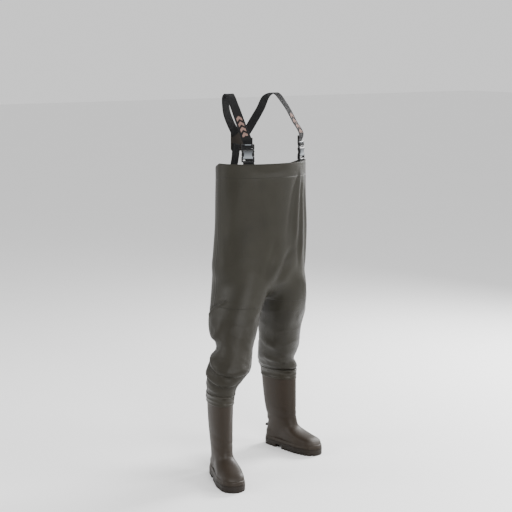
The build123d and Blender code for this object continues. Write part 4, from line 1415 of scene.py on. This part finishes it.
def boot_band(side):
    """The ribbed band round the leg, where the cloth meets the boot."""
    degrees = np.linspace(0, 360, 96, endpoint=False)
    rows = smooth_rows(LEG_RINGS[side], [z for _, z in BAND_PROFILE])
    rings = [
        np.column_stack([ring_points(row, degrees, out), np.full(96, z)])
        for row, (out, z) in zip(rows, BAND_PROFILE)
    ]
    vertices = np.stack(rings, 1).reshape(-1, 3)
    faces = swept_faces(96, len(BAND_PROFILE), closed=True)
    return outward(new_object(f"{side}_boot_band", vertices, faces, FINISHES["join_band"]))


class WADERS_OT_boots(bpy.types.Operator):
    """Makes the boots: uppers, soles, toe guards, kick spurs and the join bands"""

    bl_idname = "waders.boots"
    bl_label = "Boots"

    def execute(self, context):
        for side in SIGN:
            body = f"{side}_shin"
            upper = boot_upper(side)
            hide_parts(f"{side}_boot_upper")
            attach(upper, body)

            foxing = foxing_strip(side)
            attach(foxing, body)

            sole = sole_unit(side)
            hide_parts(f"{side}_outsole")
            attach(sole, body)

            guard = toe_rib(side)
            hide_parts(f"{side}_toe_guard")
            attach(guard, body)

            spur = heel_spur(side)
            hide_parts(f"{side}_kick_spur")
            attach(spur, body)

            band = boot_band(side)
            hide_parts(f"{side}_join_band")
            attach(band, body)
            dress_node(f"{side}_insole", "insole_felt")
        return {"FINISHED"}


def buckle_socket(side, place):
    """The buckle's body: pinched sides, a webbing slot and a hollow for the plug."""
    arc = np.linspace(-1, 1, 11)
    outline = (
        [(-0.027, 0.008), (0.027, 0.008), (0.027, 0.024)]
        + [(0.027 - 0.006 * (1 - t * t) ** 0.5, 0.0395 + 0.0095 * t) for t in arc]
        + [(0.027, 0.058), (-0.027, 0.058)]
        + [(-0.027 + 0.006 * (1 - t * t) ** 0.5, 0.0395 - 0.0095 * t) for t in arc]
        + [(-0.027, 0.024)]
    )
    outlines = [rounded(outline, 0.0035, 3), block(0.0205, 0.0122, 0.0195, 0.0015, 3)]
    socket = plate(f"{side}_buckle_body", outlines, 0.011, 0.0016, FINISHES["buckle_plastic"])
    cavity = new_object(
        "cavity",
        [(x, y, z) for z in (-0.0033, 0.0033) for y in (0.0222, 0.0700) for x in (-0.0248, 0.0248)],
        [(0, 2, 3, 1), (4, 5, 7, 6), (0, 1, 5, 4), (2, 6, 7, 3), (0, 4, 6, 2), (1, 3, 7, 5)],
    )
    hollow = socket.modifiers.new("Hollow", "BOOLEAN")
    hollow.operation, hollow.object, hollow.solver = "DIFFERENCE", cavity, "EXACT"
    evaluated_mesh(socket)
    remove(cavity)
    socket.data.transform(place)
    socket.data.set_sharp_from_angle(angle=radians(38))
    return socket


def ladder_lock(side, place):
    """The plug: a frame with two webbing slots, and its middle tongue."""
    plastic = FINISHES["buckle_plastic"]
    slots = [block(0.0205, y - 0.0025, y + 0.0025, 0.0012, 3) for y in (0.0665, 0.0745)]
    plug = plate(f"{side}_ladder_lock", [block(0.027, 0.0585, 0.0825, 0.0040, 4), *slots], 0.0056, 0.0012, plastic)
    tongue = plate("tongue", [block(0.007, 0.0255, 0.0600, 0.002, 3)], 0.0050, 0.0010, plastic)
    work = bmesh.new()
    work.from_mesh(plug.data)
    work.from_mesh(tongue.data)
    work.to_mesh(plug.data)
    work.free()
    remove(tongue)
    plug.data.transform(place)
    plug.data.shade_smooth()
    plug.data.set_sharp_from_angle(angle=radians(38))
    return plug


class WADERS_OT_buckles(bpy.types.Operator):
    """Makes both side-release buckles and the webbing loops that hold them"""

    bl_idname = "waders.buckles"
    bl_label = "Buckles"

    def execute(self, context):
        width = context.scene.waders.webbing_width
        for side in SIGN:
            place, turn = buckle_frame(side)
            socket = buckle_socket(side, place)
            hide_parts(f"{side}_buckle_socket")
            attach(socket, "bib")

            # Painted highlight: a pale plate shaped like the reflection on each buckle's glossy face.
            highlight_outline = hourglass(0.0212, 0.0235, 0.0560, 0.0052, 0.003)
            face = plate(f"{side}_buckle_face", [highlight_outline], 0.0016, 0.0006, FINISHES["buckle_face"])
            face.data.transform(place @ Matrix.Translation((0, 0, 0.0053)))
            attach(face, "bib")

            plug = ladder_lock(side, place)
            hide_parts(f"{side}_buckle_plug")
            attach(plug, f"{side}_plug")

            outline = block(0.0130, 0.0775, 0.0812, 0.0018, 3)
            bar = plate(f"{side}_lock_bar", [outline], 0.0016, 0.0007, FINISHES["lock_bar"])
            bar.data.transform(place @ Matrix.Translation((0, 0, 0.0028)))
            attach(bar, f"{side}_plug")
            for arm in ("left_arm", "right_arm"):
                dress_node(f"{side}_plug_{arm}", "buckle_plastic")

            rise = [-0.046 + 0.0055 * k for k in range(10)]
            loop = [(0.00125, y) for y in rise]
            loop += [(0.0036 * cos(a), 0.0098 + 0.0036 * sin(a)) for a in np.linspace(-0.5, pi + 0.5, 13)]
            loop += [(-0.00125, y) for y in reversed(rise)]
            points = [place @ Vector((0, y, z)) for z, y in loop]
            turns = np.full(len(points), turn)
            tab = ribbon(f"{side}_buckle_tab", points, turns, width, 0.0022, FINISHES["webbing"])
            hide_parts(f"{side}_strap_tab")
            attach(tab, "bib")
        return {"FINISHED"}


# the webbing's way through the ladder lock: (away from the chest, height)
THREADED = [
    (-0.0072, 0.108), (-0.0070, 0.092), (-0.0066, 0.074), (-0.0050, 0.0668), (-0.0012, 0.0658),
    (0.0030, 0.0668), (0.0046, 0.0698), (0.0036, 0.0730), (-0.0008, 0.0752), (-0.0040, 0.0790),
    (-0.0043, 0.0850), (-0.0040, 0.0920),
]
SHOULDER_STATION = 3
YOKE_OUT, YOKE_RISE, YOKE_HALF_WIDTH, YOKE_HALF_HEIGHT = 0.150, 0.078, 0.049, 0.046


class WADERS_OT_straps(bpy.types.Operator):
    """Makes the shoulder straps, the back straps and the yoke that joins them"""

    bl_idname = "waders.straps"
    bl_label = "Straps"

    def execute(self, context):
        sizes = context.scene.waders
        width, thick, webbing = sizes.webbing_width, STRAP_THICKNESS, FINISHES["webbing"]
        seams = []
        for side, sign in SIGN.items():
            place, turn = buckle_frame(side)
            start = [(*(place @ Vector((0, y, z))), np.degrees(turn)) for z, y in THREADED]
            course = [(BODY_X + x, BODY_Y + y, HEM_Z + z, angle) for x, y, z, angle in STRAP_COURSE[side]]
            low, low_turns = smooth_course(start, 0.0016)
            whole, turns = smooth_course([start[-1], *course], 0.005)
            over = course[SHOULDER_STATION][:3]
            shoulder = int(np.argmin(np.linalg.norm(whole - np.array(over), axis=1)))
            front = np.concatenate([low, whole[1 : shoulder + 1]])
            front_turns = np.concatenate([low_turns, turns[1 : shoulder + 1]])
            length = np.linalg.norm(np.diff(low, axis=0), axis=1).sum()
            name, woven = f"{side}_front_webbing", FINISHES["strap_pattern"]
            strap = ribbon(name, front, front_turns, width, thick, woven, -length)
            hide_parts(f"{side}_front_strap")
            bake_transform(strap)

            rear = ribbon(f"{side}_shoulder_webbing", whole[shoulder:], turns[shoulder:], width, thick, webbing)
            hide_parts(f"{side}_shoulder_strap")
            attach(rear, "bib")

            back = [(BODY_X + sign * 0.023, BODY_Y + YOKE_OUT, HEM_Z + 0.064, 0)]
            for x, rise in BACK_STRAP_COURSE[1:]:
                share = -rise / 0.28
                depth = CHEST_DEPTH + share * 0.010
                wide = CHEST_WIDTH + share * 0.002
                y = BODY_Y + depth * (1 - (x / wide) ** 2) ** 0.5 + 0.0024
                back.append((BODY_X + sign * x, y, HEM_Z + rise, -sign * x / CHEST_WIDTH * 30))
            points, back_turns = smooth_course(back, 0.006)
            points = np.array([self.on_cloth(p) for p in points])
            strap = ribbon(f"{side}_back_webbing", points, back_turns, width, thick, webbing)
            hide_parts(f"{side}_back_strap")
            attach(strap, "bib")
            seams += self.box_seam(points, back_turns, width)

        outline = block(YOKE_HALF_WIDTH, -YOKE_HALF_HEIGHT, YOKE_HALF_HEIGHT, 0.013, 6)
        yoke = plate("back_yoke_patch", [outline], 0.0022, 0.0007, FINISHES["sole_rubber"])
        turn = Matrix(((-1, 0, 0), (0, 0, 1), (0, 1, 0))).to_4x4()
        turn.translation = Vector((BODY_X, BODY_Y + YOKE_OUT + thick / 2 + 0.0041, HEM_Z + YOKE_RISE))
        yoke.data.transform(turn)
        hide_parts("back_yoke")
        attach(yoke, "bib")
        for inset in (0.004, 0.009):
            high = YOKE_HALF_HEIGHT - inset
            ring = block(YOKE_HALF_WIDTH - inset, -high, high, 0.011, 6)
            seams.append([turn @ Vector((x, y, 0.0013)) for x, y in ring + ring[:1]])
        stitch = pod("stitch", sizes.stitch_pitch * 0.78, 0.0009, 0.0007)
        thread = repeats("strap_stitching", seams, stitch, sizes.stitch_pitch, FINISHES["thread"])
        remove(stitch)
        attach(thread, "bib")
        return {"FINISHED"}

    def on_cloth(self, point):
        """Lays a point of a back strap on the cloth's outside, never in it."""
        if point[2] > HEM_Z - BACK_DROP:
            return point
        points = CLOTH["cut"][0]
        cloth = points[(points[:, 1] > BODY_Y) & (points[:, 2] > 1.0)]
        best = np.argmin((cloth - point) ** 2 @ np.array([1, 0.02, 1]))
        return np.array([point[0], max(point[1], cloth[best][1] + 0.0022), point[2]])

    def box_seam(self, points, turns, width):
        """A sewn box with a cross at the lower end of a back strap."""
        end, turn = points[-1], turns[-1]
        across = np.array([cos(turn), sin(turn), 0])
        out = np.array([-sin(turn), cos(turn), 0]) * 0.0016
        half = width / 2 - 0.005
        corners = [(-half, 0.006), (half, 0.006), (half, 0.034), (-half, 0.034)]
        place = [end + across * x + np.array([0, 0, z]) + out for x, z in corners]
        return [[*place, place[0]], [place[0], place[2]], [place[1], place[3]]]


class WADERS_PT_panel(bpy.types.Panel):
    """Lists the waders' pieces, sizes and colours"""

    bl_label = "Chest Waders"
    bl_idname = "WADERS_PT_panel"
    bl_space_type = "VIEW_3D"
    bl_region_type = "UI"
    bl_category = "Waders"

    def draw(self, context):
        layout = self.layout
        for name in WadersSettings.__annotations__:
            layout.prop(context.scene.waders, name)
        for operator in OPERATORS:
            layout.operator(operator.bl_idname)


OPERATORS = (WADERS_OT_stage, WADERS_OT_cloth, WADERS_OT_boots, WADERS_OT_buckles, WADERS_OT_straps)
CLASSES = (WadersSettings, *OPERATORS, WADERS_PT_panel)


def register():
    for cls in CLASSES:
        bpy.utils.register_class(cls)
    bpy.types.Scene.waders = PointerProperty(type=WadersSettings)


def unregister():
    del bpy.types.Scene.waders
    for cls in reversed(CLASSES):
        bpy.utils.unregister_class(cls)


def main():
    register()
    bpy.ops.waders.stage()
    bpy.ops.waders.cloth()
    bpy.ops.waders.boots()
    bpy.ops.waders.buckles()
    bpy.ops.waders.straps()
    bpy.context.view_layer.update()


if __name__ == "__main__":
    main()
